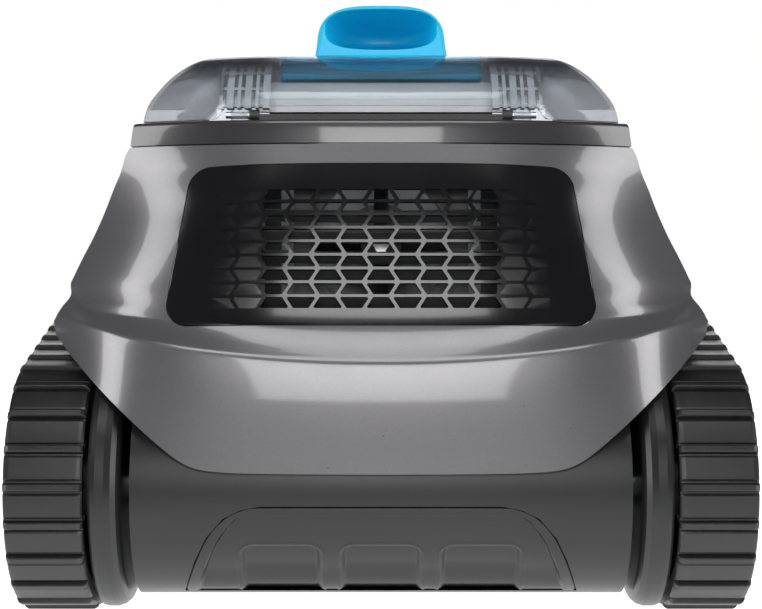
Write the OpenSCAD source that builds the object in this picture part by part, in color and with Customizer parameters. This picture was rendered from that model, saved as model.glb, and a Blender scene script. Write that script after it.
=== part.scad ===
// Tracked pool cleaner: two rubber tracks, a sealed drive block in a rounded hull, a lift-out
// filter canister under a clear hinged lid, a pump that blows out through a rear honeycomb grille,
// and a geared front brush. X is across, +Y is the direction of travel, Z is up, and the origin is
// on the ground under the middle of the machine.

/* [Overall] */
// Width across the outsides of both tracks
overall_w = 420; // [340:1:510]
// Distance between the two axles along the ground
wheelbase = 260; // [236:1:320]
// Height of the seam between the shell and the lid collar
shell_top_z = 274; // [258:1:330]

/* [Tracks] */
// Width of one rubber track
track_w = 44; // [34:1:60]
// Radius of the rear track end, to the tips of the cleats
rear_r = 74.6; // [62:0.1:84]
// Radius of the front track end, to the tips of the cleats
front_r = 108; // [96:0.1:122]
// Thickness of the belt under the cleats
belt_t = 5; // [3:0.5:7]
// Height of a cleat above the belt
cleat_h = 3; // [1.5:0.5:5]
// Width of a cleat along the track
cleat_w = 5; // [3:0.5:8]
// Number of cleats on one track
cleat_n = 51; // [40:1:60]
// Radius of the fixed axle pins
axle_r = 8; // [5:0.5:11]

/* [Hull and shell] */
// Radius of the rounded rear hull
hull_r = 65; // [54:0.5:70]
// Gap between the hull side and the inside of a track
hull_gap = 25.4; // [22:0.1:32]
// Wall of the hull
hull_wall = 3.5; // [2.5:0.1:5]
// Wall of the shell
shell_wall = 3; // [2:0.1:4]
// How far the fenders stop short of the outside of the tracks
fender_inset = 16; // [8:1:24]

/* [Grille] */
// Width of the grille panel at its bottom
grille_w = 246; // [200:1:262]
// Height of the grille panel along its slope
grille_h = 98; // [84:1:104]
// Width of one cell of the grille
cell_w = 15.2; // [12:0.1:18]
// Height of one cell of the grille
cell_h = 8.1; // [6:0.1:9.5]
// Bar between neighbouring cells
cell_bar = 1.6; // [1:0.1:2.4]

/* [Lid and handle] */
// Height of the collar that the lid closes on
collar_h = 15; // [10:1:20]
// Height of the clear lid
lid_h = 45; // [38:1:54]
// Wall of the clear lid
lid_wall = 3; // [2:0.1:4]
// Height of the handle above the lid
handle_h = 34; // [28:1:42]
// Width of the finger opening in the handle
grip_w = 70; // [60:1:84]
// How far the lid opens
lid_open = 80; // [60:1:80]

/* [Canister and pump] */
// Width of the filter canister
canister_w = 152; // [120:1:180]
// Length of the filter canister
canister_l = 176; // [140:1:190]
// Radius of the impeller
impeller_r = 40; // [32:0.5:42]

/* [Brush] */
// Radius of the brush, to the tips of its blades
brush_r = 40; // [34:0.5:42]
// Number of blades round the brush
blade_n = 8; // [6:1:12]
// Teeth of the gear on the left front wheel
wheel_teeth = 45; // [42:1:48]
// Teeth of the pinion on the brush
brush_teeth = 15; // [14:1:18]

/* [Hidden] */

fit = 0.05;                 // running clearance of a bore on its pin
seat = 0.3;                 // clearance between pieces that are set into each other
run_gap = 0.5;              // clearance between a wheel and the belt round it

half_w = overall_w / 2;
half_l = (wheelbase + rear_r + front_r) / 2;
rear_y = rear_r - half_l;
front_y = half_l - front_r;
track_x = half_w - track_w; // inside face of a track
hull_x = track_x - hull_gap;
hull_z = rear_r - hull_r;   // underside of the hull
hull_top = rear_r + hull_r;
hull_front = front_y + 6;

// Belt path, along the belt surface under the cleats
belt_rear = rear_r - cleat_h;
belt_front = front_r - cleat_h;
top_angle = 90 + 2 * atan((front_r - rear_r) / wheelbase);
front_arc = belt_front * (top_angle + 90) * PI / 180;
rear_arc = belt_rear * (270 - top_angle) * PI / 180;
belt_l = 2 * wheelbase + front_arc + rear_arc;

function belt_point(s, h) =
    s < wheelbase ? [rear_y + s, cleat_h - h]
    : s < wheelbase + front_arc ? around(front_y, front_r, belt_front + h,
                                         -90 + (s - wheelbase) / belt_front * 180 / PI)
    : s < 2 * wheelbase + front_arc ? around(front_y, front_r, belt_front + h, top_angle)
        + (s - wheelbase - front_arc) * [-sin(top_angle), cos(top_angle)]
    : around(rear_y, rear_r, belt_rear + h,
             top_angle + (s - 2 * wheelbase - front_arc) / belt_rear * 180 / PI);
function around(y, z, r, a) = [y + r * cos(a), z + r * sin(a)];

// Brush drive
gear_gap = 90;              // axle of the front wheel to the axle of the brush
gear_m = 2 * gear_gap / (wheel_teeth + brush_teeth);
brush_y = front_y + 62;
brush_z = front_r - sqrt(gear_gap * gear_gap - 62 * 62);
gear_x = hull_x + 3.5;      // inside face of the gears
gear_w = 11;
bush_r = 9;                 // outside radius of the brush bearings

// Shell surface
shell_side = half_w - fender_inset;
hem_z = 85.5;               // hem at the rear centre
nose_z = 150;               // hem at the front centre
corner_z = 2 * rear_r + 14; // hem at the rear corner
front_corner_z = 2 * front_r + 10;
corner_y = rear_y - 3;
side_profile = [[0, 0], [0.13, 3], [0.24, 6.5], [0.41, 14.5], [0.58, 25],
                [0.77, 33.5], [0.88, 38.5], [1, 44]];
rear_profile = [[0, 6], [0.18, 7.5], [0.34, 12.5], [0.46, 24.5],
                [0.61, 31.5], [0.82, 41.5], [1, 53.5]];
front_profile = [[0, 30], [0.3, 38], [0.7, 66], [1, 95]];
sweep_profile = [[0, 64], [0.41, 64], [0.76, 50], [1, 27]];
front_sweep = [[0, 50], [1, 27]];
rear_steps = [-1, -0.97, -0.92, -0.86, -0.78, -0.7, -0.6, -0.5, -0.36, -0.18, 0,
              0.18, 0.36, 0.5, 0.6, 0.7, 0.78, 0.86, 0.92, 0.97, 1];
front_steps = [1, 0.94, 0.84, 0.75, 0.7, 0.6, 0.3, 0, -0.3, -0.6, -0.7, -0.75, -0.84, -0.94, -1];
side_steps = [1 / 6, 2 / 6, 3 / 6, 4 / 6, 5 / 6];
levels = [0, 0.06, 0.18, 0.32, 0.44, 0.58, 0.72, 0.86, 0.96, 1];

function soft_ramp(a, e) = (a + sqrt(a * a + e * e)) / 2;
function share(z, z0) = unit((z - z0) / (shell_top_z - z0));
function unit(a) = min(max(a, 0), 1);
function rear_hem(s) =
    min(hem_z + 2.25 * (corner_z - hem_z) * soft_ramp(abs(s) - 0.56, 0.06), corner_z);
function front_hem(s) =
    nose_z + (front_corner_z - nose_z) * unit((abs(s) * shell_side - hull_x + 4) / 8);
function side_hem(y) =
    corner_z + (front_corner_z - corner_z) * unit((y - corner_y) / (front_y - corner_y));
function rear_face(s, z) = let (q = share(z, hem_z))
    -half_l + lookup(q, rear_profile) + lookup(q, sweep_profile) * pow(abs(s), 8 - 5 * q);
function front_face(s, z) = let (q = share(z, nose_z))
    half_l - lookup(q, front_profile) - lookup(q, front_sweep) * pow(abs(s), 3);
function rear_column(s, v) = let (z = rear_hem(s) + v * (shell_top_z - rear_hem(s)))
    [s * (shell_side - lookup(share(z, corner_z), side_profile)), rear_face(s, z), z];
function front_column(s, v) = let (z = front_hem(s) + v * (shell_top_z - front_hem(s)))
    [s * (shell_side - lookup(share(z, front_corner_z), side_profile)), front_face(s, z), z];
function side_column(side, t, v) = let (
        a = rear_column(1, v), b = front_column(1, v),
        a0 = rear_column(1, 0), b0 = front_column(1, 0),
        z0 = side_hem(a0[1] + t * (b0[1] - a0[1])))
    [side * (a[0] + t * (b[0] - a[0])), a[1] + t * (b[1] - a[1]), z0 + v * (shell_top_z - z0)];

// A ring of the shell, counter-clockwise from the rear left corner
function ring(v) = concat(
    [for (s = rear_steps) rear_column(s, v)], [for (t = side_steps) side_column(1, t, v)],
    [for (s = front_steps) front_column(s, v)],
    [for (i = [1:len(side_steps)]) side_column(-1, side_steps[len(side_steps) - i], v)]);
// A ring moved inwards by a distance, as an ellipse shrinks
function inward(p, d) = let (n = [p[0] / (shell_side * shell_side), p[1] / (half_l * half_l)],
                             m = n / max(norm(n), 1e-9)) [p[0] - d * m[0], p[1] - d * m[1], p[2]];
function drawn_in(ring_points, d) = [for (p = ring_points) inward(p, d)];
function at_height(ring_points, z) = [for (p = ring_points) [p[0], p[1], z]];
function plan(ring_points) = [for (p = ring_points) [p[0], p[1]]];

// Lid and handle
collar_z = shell_top_z + collar_h;
lid_z = collar_z + lid_h;
lid_inset = [[0, 6], [0.25, 10], [0.45, 17], [0.65, 27], [0.8, 37], [0.9, 46], [1, 60]];
rim_y = rear_face(0, shell_top_z);        // rear of the collar
front_rim_y = front_face(0, shell_top_z); // front of the collar
hinge_y = rim_y + 17;
hinge_z = collar_z + 3.5;
hinge_x = 84;
base_w = 129;
base_y = rim_y + 67;
base_l = 96;
base_t = 13;
handle_y = base_y + 6;

// Canister
canister_y = rim_y + 58;
canister_top = lid_z - base_t - 2;
canister_z = hull_top + 12;
inlet_y = canister_y + canister_l / 2;
inlet_x = 0.4 * canister_w + 0.2; // half width of the suction inlet

// Pump
pump_z = shell_top_z - 58;
pump_y = rim_y + 20;
tilt = 16;

module yz(x0, x1) {
    translate([x0, 0, 0]) rotate([90, 0, 90]) linear_extrude(x1 - x0) children();
}

module disc(x0, x1, r, n = 96) {
    translate([x0, 0, 0]) rotate([0, 90, 0]) cylinder(h = x1 - x0, r = r, $fn = n);
}

// A turned piece about the X axis from points [x, r]
module turned(points) {
    rotate([0, 90, 0]) rotate_extrude($fn = 128) polygon([for (p = points) [p[1], p[0]]]);
}

module box(x0, x1, y0, y1, z0, z1) {
    translate([x0, y0, z0]) cube([x1 - x0, y1 - y0, z1 - z0]);
}

function skin(n, rows, first, flip) = [for (l = [0:rows - 2], c = [0:n - 1]) let (
        a = first + l * n + c, b = first + l * n + (c + 1) % n, d = a + n, e = b + n)
    each flip ? [[a, b, e], [a, e, d]] : [[a, e, b], [a, d, e]]];
function rim(n, a0, b0, flip) = [for (c = [0:n - 1]) let (
        a = a0 + c, b = a0 + (c + 1) % n, d = b0 + c, e = b0 + (c + 1) % n)
    each flip ? [[a, b, e], [a, e, d]] : [[a, e, b], [a, d, e]]];

// A wall between two stacks of rings, open at the top and the bottom
module open_wall(outer, inner) {
    n = len(outer[0]);
    rows = len(outer);
    polyhedron(points = concat([for (r = outer) each r], [for (r = inner) each r]),
               faces = concat(skin(n, rows, 0, false), skin(n, rows, n * rows, true),
                              rim(n, n * (rows - 1), n * (2 * rows - 1), false),
                              rim(n, 0, n * rows, true)));
}

// ---- Hull ----

module hull_side(r, x0, x1, front, top) {
    yz(x0, x1) union() {
        translate([rear_y, rear_r]) circle(r = r, $fn = 96);
        polygon([[rear_y, rear_r - r], [front, rear_r - r], [front, top], [rear_y, top]]);
    }
}

panel_top = hem_z - 18;
pocket_pitch = 0.35 * hull_x; // three shallow pockets along the bottom of the panel
arm_t = 6.6;                  // front arms beside the brush
axles = [[rear_y, rear_r], [front_y, front_r]];
panel_edge = [[0.48, 1], [0.56, 0.96], [0.63, 0.87], [0.7, 0.66], [0.75, 0.4], [0.81, 0]];

// Front view of the rear hull panel, shrunk by a distance
module panel_outline(d) {
    low = hull_z + 4;
    right = [for (p = panel_edge)
        [p[0] * hull_x - d, low + (panel_top - low) * p[1] - (p[1] == 1 ? d : 0)]];
    left = [for (i = [1:len(right)]) let (p = right[len(right) - i]) [-p[0], p[1]]];
    polygon(concat(right, left));
}

module through_rear(y0, y1) {
    translate([0, y1, 0]) rotate([90, 0, 0]) linear_extrude(y1 - y0) children();
}

module hull_tub() {
    arm_z = brush_z + 16;
    color("#1f2022") difference() {
        union() {
            hull_side(hull_r, -hull_x, hull_x, hull_front, hull_top);
            for (side = [-1, 1]) {
                // Front arms that carry the brush
                yz(side * (hull_x - arm_t / 2) - arm_t / 2, side * (hull_x - arm_t / 2) + arm_t / 2)
                    polygon([[hull_front - 8, 20], [brush_y, brush_z - 16], [brush_y + 16, brush_z],
                             [brush_y + 10, arm_z], [hull_front - 8, hull_top]]);
                // Bosses for the axle pins
                for (a = axles)
                    translate([side * (hull_x - 5), a[0], a[1]]) disc(-7, 7, axle_r + 8);
            }
        }
        hull_side(hull_r - hull_wall, hull_wall - hull_x, hull_x - hull_wall,
                  hull_front - hull_wall, hull_top + 1);
        for (a = axles, side = [-1, 1])
            translate([side * (hull_x - 5), a[0], a[1]]) disc(-8, 8, axle_r);
        translate([0, brush_y, brush_z]) disc(-hull_x - 1, hull_x + 1, bush_r);
        through_rear(-half_l - 1, rear_y) panel_outline(0);
        box(-inlet_x - 1, inlet_x + 1, inlet_y - 16, inlet_y + 16, hull_z - 1, hull_z + hull_wall + 1);
    }
}

module rear_hull_panel() {
    color("#232427") difference() {
        intersection() {
            through_rear(-half_l - 1, rear_y - 4) panel_outline(seat);
            translate([0, rear_y, rear_r]) disc(-hull_x, hull_x, hull_r - 4);
        }
        translate([0, rear_y, rear_r]) disc(-hull_x - 1, hull_x + 1, hull_r - 10);
        for (i = [-1:1]) let (x = i * pocket_pitch) intersection() {
            through_rear(-half_l, rear_y) translate([x, 24]) union() {
                translate([-20, -8]) square([40, 20]);
                translate([-13, 0]) square([26, 19]);
            }
            translate([0, rear_y, rear_r]) difference() {
                disc(x - 20.5, x + 20.5, hull_r - 3);
                disc(x - 21, x + 21, hull_r - 8);
            }
        }
    }
}

module front_bumper() {
    z0 = brush_z + brush_r + 6;
    y0 = hull_front + seat;
    color("#1f2022") difference() {
        yz(-hull_x + 7, hull_x - 7) difference() {
            polygon([[y0, z0], [half_l - 34, z0], [half_l - 26, z0 + 8], [half_l - 26, nose_z - 16],
                     [half_l - 36, nose_z - 6], [y0, nose_z - 6]]);
            polygon([[y0 - 1, z0 + 4], [half_l - 36, z0 + 4], [half_l - 30, z0 + 10],
                     [half_l - 30, nose_z - 18],
                     [half_l - 38, nose_z - 10], [y0 - 1, nose_z - 10]]);
        }
        translate([0, half_l - 20, port_z]) rotate([90, 0, 0]) cylinder(h = 20, r = port_r, $fn = 64);
    }
}

module bottom_plate() {
    color("#2a2b2e") difference() {
        box(-hull_x + 14, hull_x - 14, inlet_y - 40, hull_front - 8, hull_z - 3, hull_z);
        box(-inlet_x + 1, inlet_x - 1, inlet_y - 14, inlet_y + 14, hull_z - 4, hull_z + 1);
        for (x = [-hull_x + 22, hull_x - 22], y = [inlet_y - 32, hull_front - 16])
            translate([x, y, hull_z - 4]) cylinder(h = 5, r = 1.8, $fn = 32);
    }
}

module base_screws() {
    color("silver") for (x = [22 - hull_x, hull_x - 22], y = [inlet_y - 32, hull_front - 16])
        translate([x, y, 0]) {
            translate([0, 0, hull_z - 5]) cylinder(h = 2, r = 3.4, $fn = 32);
            translate([0, 0, hull_z - 3.5]) cylinder(h = 3.5, r = 1.7, $fn = 32);
        }
}

module inlet_throat() {
    color("#3a3b3f") difference() {
        box(-inlet_x - 5, inlet_x + 5, inlet_y - 20, inlet_y + 20, hull_z + hull_wall, canister_z - 6);
        box(-inlet_x, inlet_x, inlet_y - 15, inlet_y + 15, hull_z + hull_wall - 1, canister_z - 5);
        translate([0, flap_y, flap_z]) disc(-inlet_x - 6, inlet_x + 6, 2);
    }
}

flap_y = inlet_y + 11;
flap_z = canister_z - 12;

module inlet_flap() {
    color("#17181a") union() {
        translate([0, flap_y, flap_z]) disc(-inlet_x - 4, inlet_x + 4, 2 - fit);
        box(-inlet_x + 1, inlet_x - 1, inlet_y - 14, flap_y, flap_z - 1, flap_z + 1);
    }
}

// ---- Shell, collar, grille ----

module upper_shell() {
    outer = [for (v = levels) ring(v)];
    color("#56545a") difference() {
        open_wall(outer, [for (r = outer) drawn_in(r, shell_wall)]);
        grille_block(0, 40);
    }
}

grille_top_y = rim_y - 5;
grille_top_z = shell_top_z - 11;

// Outline of the grille panel: narrower at the top, with round corners
module grille_outline(d) {
    corner = 14;
    r = corner - d;
    x_top = 0.46 * grille_w - corner;
    x_low = grille_w / 2 - corner;
    union() {
        for (side = [-1, 1]) {
            translate([side * x_top, -corner]) circle(r = r, $fn = 64);
            translate([side * x_low, corner - grille_h]) circle(r = r, $fn = 64);
        }
        polygon([[-x_top, -d], [x_top, -d], [x_top + r, -corner], [x_low + r, corner - grille_h],
                 [x_low, d - grille_h], [-x_low, d - grille_h],
                 [-x_low - r, corner - grille_h], [-x_top - r, -corner]]);
    }
}

// Places its children on the sloping rear face, Y up the slope and Z out of the shell
module on_grille() {
    translate([0, grille_top_y, grille_top_z]) rotate([90 - tilt, 0, 0]) children();
}

module grille_block(d, depth) {
    on_grille() translate([0, 0, -depth]) linear_extrude(2 * depth) grille_outline(d);
}

grille_bow = 430;           // radius of the bowed panel
grille_t = 3.5;
bow_z = 2 - grille_bow;

module bowed(r0, r1) {
    on_grille() translate([0, -grille_h - 10, bow_z]) rotate([-90, 0, 0]) difference() {
        cylinder(h = grille_h + 20, r = r1, $fn = 360);
        translate([0, 0, -1]) cylinder(h = grille_h + 22, r = r0, $fn = 360);
    }
}

// A cell between two vanes: its side walls lean in towards the top or the bottom in turn
module grille_cell(up) {
    lean = 0.1 * cell_w;
    wide = (cell_w - cell_bar) / 2 + lean;
    narrow = (cell_w - cell_bar) / 2 - lean;
    low = up ? wide : narrow;
    high = up ? narrow : wide;
    h = cell_h - cell_bar;
    polygon([[-low, -h / 2], [low, -h / 2], [high, h / 2], [-high, h / 2]]);
}

module grille_panel() {
    color("#0c0c0e") difference() {
        intersection() {
            bowed(grille_bow - grille_t, grille_bow);
            grille_block(0.5, 30);
        }
        on_grille() translate([0, -grille_h / 2 - 3, -30]) for (i = [-4:4], j = [-4:4])
            translate([i * cell_w, j * cell_h, 0]) linear_extrude(60) grille_cell((i + j) % 2 == 0);
    }
}

// Pegs behind the corners of the panel
module grille_screws() {
    r = 2.2;
    x = grille_w / 2 - 22;
    top = bow_z + sqrt(pow(grille_bow - grille_t, 2) - pow(x + r, 2)) - 0.02;
    color("#111113") on_grille() for (side = [-1, 1], y = [-20, -grille_h + 20])
        translate([side * x, y, top - 8]) cylinder(h = 8, r = r, $fn = 32);
}

module outlet_louvres() {
    x = 0.36 * grille_w;
    pitch = 0.155 * grille_h;
    y = -grille_h / 2 - 3;
    color("#202124") on_grille() {
        for (j = [-2:2]) translate([-x, y + j * pitch, -28]) rotate([18, 0, 0]) cube([2 * x, 1.6, 10]);
        for (side = [-1, 1]) translate([side * (x + 2) - 2, y - 2 * pitch - 5, -29])
            cube([4, 4 * pitch + 14, 14]);
    }
}

module outlet_duct() {
    color("#c9cbcd") translate([0, pump_y, pump_z]) rotate([-90, 0, 0]) union() {
        difference() {
            union() {
                cylinder(h = 22, r = impeller_r + 4, $fn = 96);
                translate([-impeller_r - 12, -impeller_r - 6, 0])
                    cube([2 * impeller_r + 24, 2 * impeller_r + 12, 3]);
            }
            translate([0, 0, -1]) cylinder(h = 30, r = impeller_r + 1.2, $fn = 96);
        }
        for (a = [0:120:240]) rotate([0, 0, a + 30]) translate([23.5, -1.5, 19])
            cube([impeller_r - 21.5, 3, 3]);
        difference() {
            translate([0, 0, 19]) cylinder(h = 3, r = 25, $fn = 64);
            translate([0, 0, 18]) cylinder(h = 5, r = 6, $fn = 64);
        }
    }
}

module pump_motor() {
    color("#8d9094") translate([0, pump_y, pump_z]) rotate([-90, 0, 0]) difference() {
        translate([0, 0, 22]) cylinder(h = 15, r = 24, $fn = 96);
        translate([0, 0, 21]) cylinder(h = 12, r = 3 + fit, $fn = 48);
    }
}

module impeller() {
    color("#35373b") translate([0, pump_y, pump_z]) rotate([-90, 0, 0]) union() {
        translate([0, 0, 2]) cylinder(h = 15, r = 12, $fn = 64);
        translate([0, 0, 2]) cylinder(h = 30, r = 3, $fn = 48);
        for (a = [0:90:270]) rotate([0, 0, a]) translate([10, 0, 9]) rotate([35, 0, 0])
            translate([0, -1, -6]) cube([impeller_r - 11, 2, 12]);
    }
}

module impeller_nut() {
    color("silver") translate([0, pump_y, pump_z]) rotate([90, 0, 0]) translate([0, 0, -2])
        cylinder(h = 4, r = 5, $fn = 6);
}

module lid_collar() {
    outer = plan(drawn_in(ring(1), 1.5));
    inner = plan(drawn_in(ring(1), 16));
    color("#56545a") difference() {
        translate([0, 0, shell_top_z]) linear_extrude(collar_h) difference() {
            polygon(outer);
            polygon(inner);
        }
        box(-hinge_x - 16, hinge_x + 16, rim_y + 5, rim_y + 40, collar_z - 5, collar_z + 1);
    }
}

module collar_seal() {
    color("#0e0e10") translate([0, 0, collar_z]) linear_extrude(0.8) difference() {
        polygon(plan(drawn_in(ring(1), 9)));
        polygon(plan(drawn_in(ring(1), 14)));
        translate([-hinge_x - 18, rim_y - 10]) square([2 * hinge_x + 36, 60]);
    }
}

module hinge_bridge() {
    color("#45464a") difference() {
        union() {
            box(-72, 72, hinge_y - 3, hinge_y + 10, collar_z - 5, collar_z + 4);
            for (side = [-1, 1]) translate([0, hinge_y, hinge_z])
                disc(side > 0 ? 72 : -78, side > 0 ? 78 : -72, 3.4);
        }
        translate([0, hinge_y, hinge_z]) disc(-79, 79, 2);
    }
}

module hinge_pins() {
    color("silver") translate([0, hinge_y, hinge_z]) for (side = [-1, 1])
        disc(side > 0 ? 66 : -92, side > 0 ? 92 : -66, 2);
}

lid_levels = [0, 0.25, 0.45, 0.65, 0.8, 0.9, 1];
arch_x = hinge_x + 28;

// One ring of the lid, lifted at its rear into an arch over the hinge bridge
function lid_edge(p) = abs(p[0]) < arch_x && p[1] < rim_y + 34 ? 8.5 : 1.2;
function lid_ring(k, d) = [for (p = drawn_in(ring(1), 3 + lookup(k, lid_inset) + d))
    [p[0], p[1], collar_z + (k > 0 ? lid_h * k : lid_edge(p))]];

module lid_shell() {
    color("#aab4b8", 0.5)
        open_wall([for (k = lid_levels) lid_ring(k, 0)], [for (k = lid_levels) lid_ring(k, lid_wall)]);
}

module lid_window() {
    color("#aab4b8", 0.5) translate([0, 0, lid_z - lid_wall]) linear_extrude(lid_wall) difference() {
        polygon(plan(lid_ring(1, lid_wall + 0.05)));
        translate([-base_w / 2 - seat, base_y - seat]) square([base_w + 2 * seat, base_l + 2 * seat]);
    }
}

module lid_hinge_arms() {
    color("#aab4b8", 0.5) translate([0, hinge_y, hinge_z]) difference() {
        for (side = [-1, 1]) yz(side * hinge_x - 5, side * hinge_x + 5) union() {
            circle(r = 3.4, $fn = 48);
            polygon([[0, -3.4], [8, -3.4], [16, 4], [18, 14], [13, 14], [9, 4.5], [0, 3.4]]);
        }
        disc(-hinge_x - 6, hinge_x + 6, 2 + fit, 48);
    }
}

module handle_base() {
    color("#0f7fb4") union() {
        box(-base_w / 2, base_w / 2, base_y, base_y + base_l, lid_z - base_t, lid_z - 8);
        box(2 - base_w / 2, base_w / 2 - 2, base_y + 2, base_y + base_l - 2, lid_z - 8, lid_z - 5);
        box(-base_w / 2, base_w / 2, base_y, base_y + base_l, lid_z - 5, lid_z);
    }
}

// Stands a front view up on the lid, from y forwards
module upright(y, depth) {
    translate([0, y, lid_z]) rotate([90, 0, 0]) mirror([0, 0, 1]) linear_extrude(depth) children();
}

module handle() {
    w = grip_w / 2;
    color("#16a6e6") difference() {
        hull() {
            translate([0, handle_y, lid_z]) box(-w - 7, w + 7, 0, 60, 0, 1);
            upright(handle_y + 3, 6) intersection() {
                scale([1, 0.62]) circle(r = w + 5, $fn = 48);
                translate([-w, 0]) square([2 * w, handle_h - 8]);
            }
            upright(handle_y, 8) union() {
                for (side = [-1, 1]) translate([side * (w - 12), handle_h - 15]) circle(r = 13, $fn = 32);
                translate([0, handle_h - 8]) circle(r = 8, $fn = 32);
            }
            translate([0, handle_y + 44, lid_z]) box(-w + 8, w - 8, 0, 4, 0, 9);
        }
        hull() {
            upright(handle_y - 2, 2) union() {
                for (side = [-1, 1])
                    translate([side * (w - 13), handle_h / 2 + 1]) circle(r = 12.5, $fn = 32);
                translate([0, handle_h - 10]) circle(r = 8, $fn = 32);
            }
            translate([0, handle_y + 36, lid_z]) box(-w + 18, w - 18, 0, 1, 4, 8);
        }
    }
}

// ---- Canister ----

module canister_cover() {
    r = 15;
    h = 20;
    color("#c4c6c8") yz(-canister_w / 2, canister_w / 2)
        translate([canister_y, canister_top - h]) difference() {
            intersection() {
                union() {
                    for (y = [r, canister_l - r]) translate([y, h - r]) circle(r = r, $fn = 96);
                    polygon([[0, 0], [canister_l, 0], [canister_l, h - r],
                             [canister_l - r, h], [r, h], [0, h - r]]);
                }
                square([canister_l, h]);
            }
            translate([5, -1]) square([canister_l - 10, h - 8]);
        }
}

module canister_frame() {
    x = canister_w / 2 - 4;
    y0 = canister_y + 4;
    y1 = canister_y + canister_l - 4;
    z0 = canister_z + 16;
    z1 = canister_top - 20;
    side_w = (y1 - y0 - 12) / 3;
    end_w = x - 6;
    color("#2e3034") difference() {
        box(-x, x, y0, y1, canister_z + 4, z1);
        box(-x + 5, x - 5, y0 + 5, y1 - 5, canister_z + 3, z1 + 1);
        // Windows in the long sides and in the ends
        for (i = [0:2]) box(-x - 1, x + 1, y0 + 10 + i * side_w, y0 + 2 + (i + 1) * side_w, z0, z1 - 12);
        for (i = [0:1]) box(10 - x + i * end_w, 2 - x + (i + 1) * end_w, y0 - 1, y1 + 1, z0, z1 - 12);
    }
}

module canister_mesh() {
    x = canister_w / 2 - 9.2;
    y0 = canister_y + 9.2;
    y1 = canister_y + canister_l - 9.2;
    color("#d8dadc") difference() {
        box(-x, x, y0, y1, canister_z + 10, canister_top - 24);
        box(-x + 0.8, x - 0.8, y0 + 0.8, y1 - 0.8, canister_z + 9, canister_top - 23);
    }
}

module canister_floor() {
    x = canister_w / 2 - 4;
    color("#2e3034") difference() {
        box(-x, x, canister_y + 4, canister_y + canister_l - 4, canister_z, canister_z + 4);
        box(-inlet_x, inlet_x, inlet_y - 15, inlet_y + 15, canister_z - 1, canister_z + 5);
    }
}

// ---- Sealed drive block ----

drive_x = hull_x - 22;
drive_r = hull_r - 12;
drive_y1 = rear_y + 74;
drive_z0 = rear_r - drive_r * sin(72);
drive_z1 = rear_r + drive_r * sin(55) - 5;

// Side view of the drive block: round behind the axle, square in front of it
module drive_outline(d) {
    back = [for (a = [125, 145, 165, 195, 215, 235, 252]) around(rear_y, rear_r, drive_r - d, a)];
    polygon(concat([for (p = back) [p[0], min(p[1], drive_z1)]],
                   [[drive_y1 - d, drive_z0 + d], [drive_y1 - d, drive_z1]]));
}

module drive_housing() {
    color("#2b2d31") difference() {
        yz(-drive_x, drive_x) drive_outline(0);
        yz(-drive_x + 4, drive_x - 4) drive_outline(4);
        box(-drive_x + 4, drive_x - 4, rear_y - 26, drive_y1 - 4, drive_z1 - 8, drive_z1 + 1);
        translate([0, rear_y, rear_r]) disc(-drive_x - 1, drive_x + 1, 9);
    }
}

module drive_seal() {
    color("#0e0e10") difference() {
        box(-drive_x + 1, drive_x - 1, rear_y - 29, drive_y1 - 1, drive_z1, drive_z1 + 1);
        box(-drive_x + 3, drive_x - 3, rear_y - 27, drive_y1 - 3, drive_z1 - 1, drive_z1 + 2);
    }
}

module drive_housing_cover() {
    color("#2b2d31") box(-drive_x, drive_x, rear_y - 30, drive_y1, drive_z1 + 1, drive_z1 + 5);
}

module battery_pack() {
    color("#2f6f9f")
        box(8 - drive_x, drive_x - 8, rear_y + 24, drive_y1 - 6, drive_z0 + 6, drive_z1 - 16);
}

module control_board() {
    color("#1d6b3a")
        box(-hull_x / 2, hull_x / 2, rear_y - 20, drive_y1 - 10, drive_z1 - 10, drive_z1 - 8.4);
}

module drive_motors() {
    color("#8d9094") for (side = [-1, 1]) translate([side * (drive_x - 34), rear_y, rear_r]) union() {
        disc(-26, 26, 17);
        translate([side * 33.5, 0, 0]) disc(-7.5, 7.5, 8.5);
    }
}

port_r = 9;
port_z = nose_z - 30;

module charging_port() {
    color("#17181a") translate([0, half_l - 26, port_z]) rotate([90, 0, 0]) difference() {
        cylinder(h = 16, r = port_r, $fn = 64);
        translate([0, 0, -1]) cylinder(h = 12, r = port_r - 3, $fn = 64);
    }
}

module charging_cap() {
    color("#0f7fb4") translate([0, half_l - 26, port_z]) rotate([-90, 0, 0])
        cylinder(h = 3, r = port_r + 2, $fn = 64);
}

module float_block() {
    y0 = canister_y + canister_l + 8;
    color("#e2e2dc")
        box(24 - hull_x, hull_x - 24, y0, front_rim_y + 4, hull_top + 10, shell_top_z - 30);
}

// ---- Tracks and wheels ----

module track_outline() {
    pitch = belt_l / cleat_n;
    polygon([for (i = [0:cleat_n - 1], k = [[-0.5, 0], [-0.36, 1], [0.36, 1], [0.5, 0]])
             belt_point((i + 0.5) * pitch + k[0] * cleat_w, k[1] * cleat_h)]);
}

module belt_inside() {
    steps = 4 * cleat_n;
    polygon([for (i = [0:steps - 1]) belt_point(i * belt_l / steps, -belt_t)]);
}

module track(side) {
    x = side > 0 ? track_x : -half_w;
    color("#1b1c1e") yz(x, x + track_w) difference() {
        track_outline();
        belt_inside();
    }
}

wheel_in = track_x + 2;
wheel_out = half_w - 3;

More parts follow.
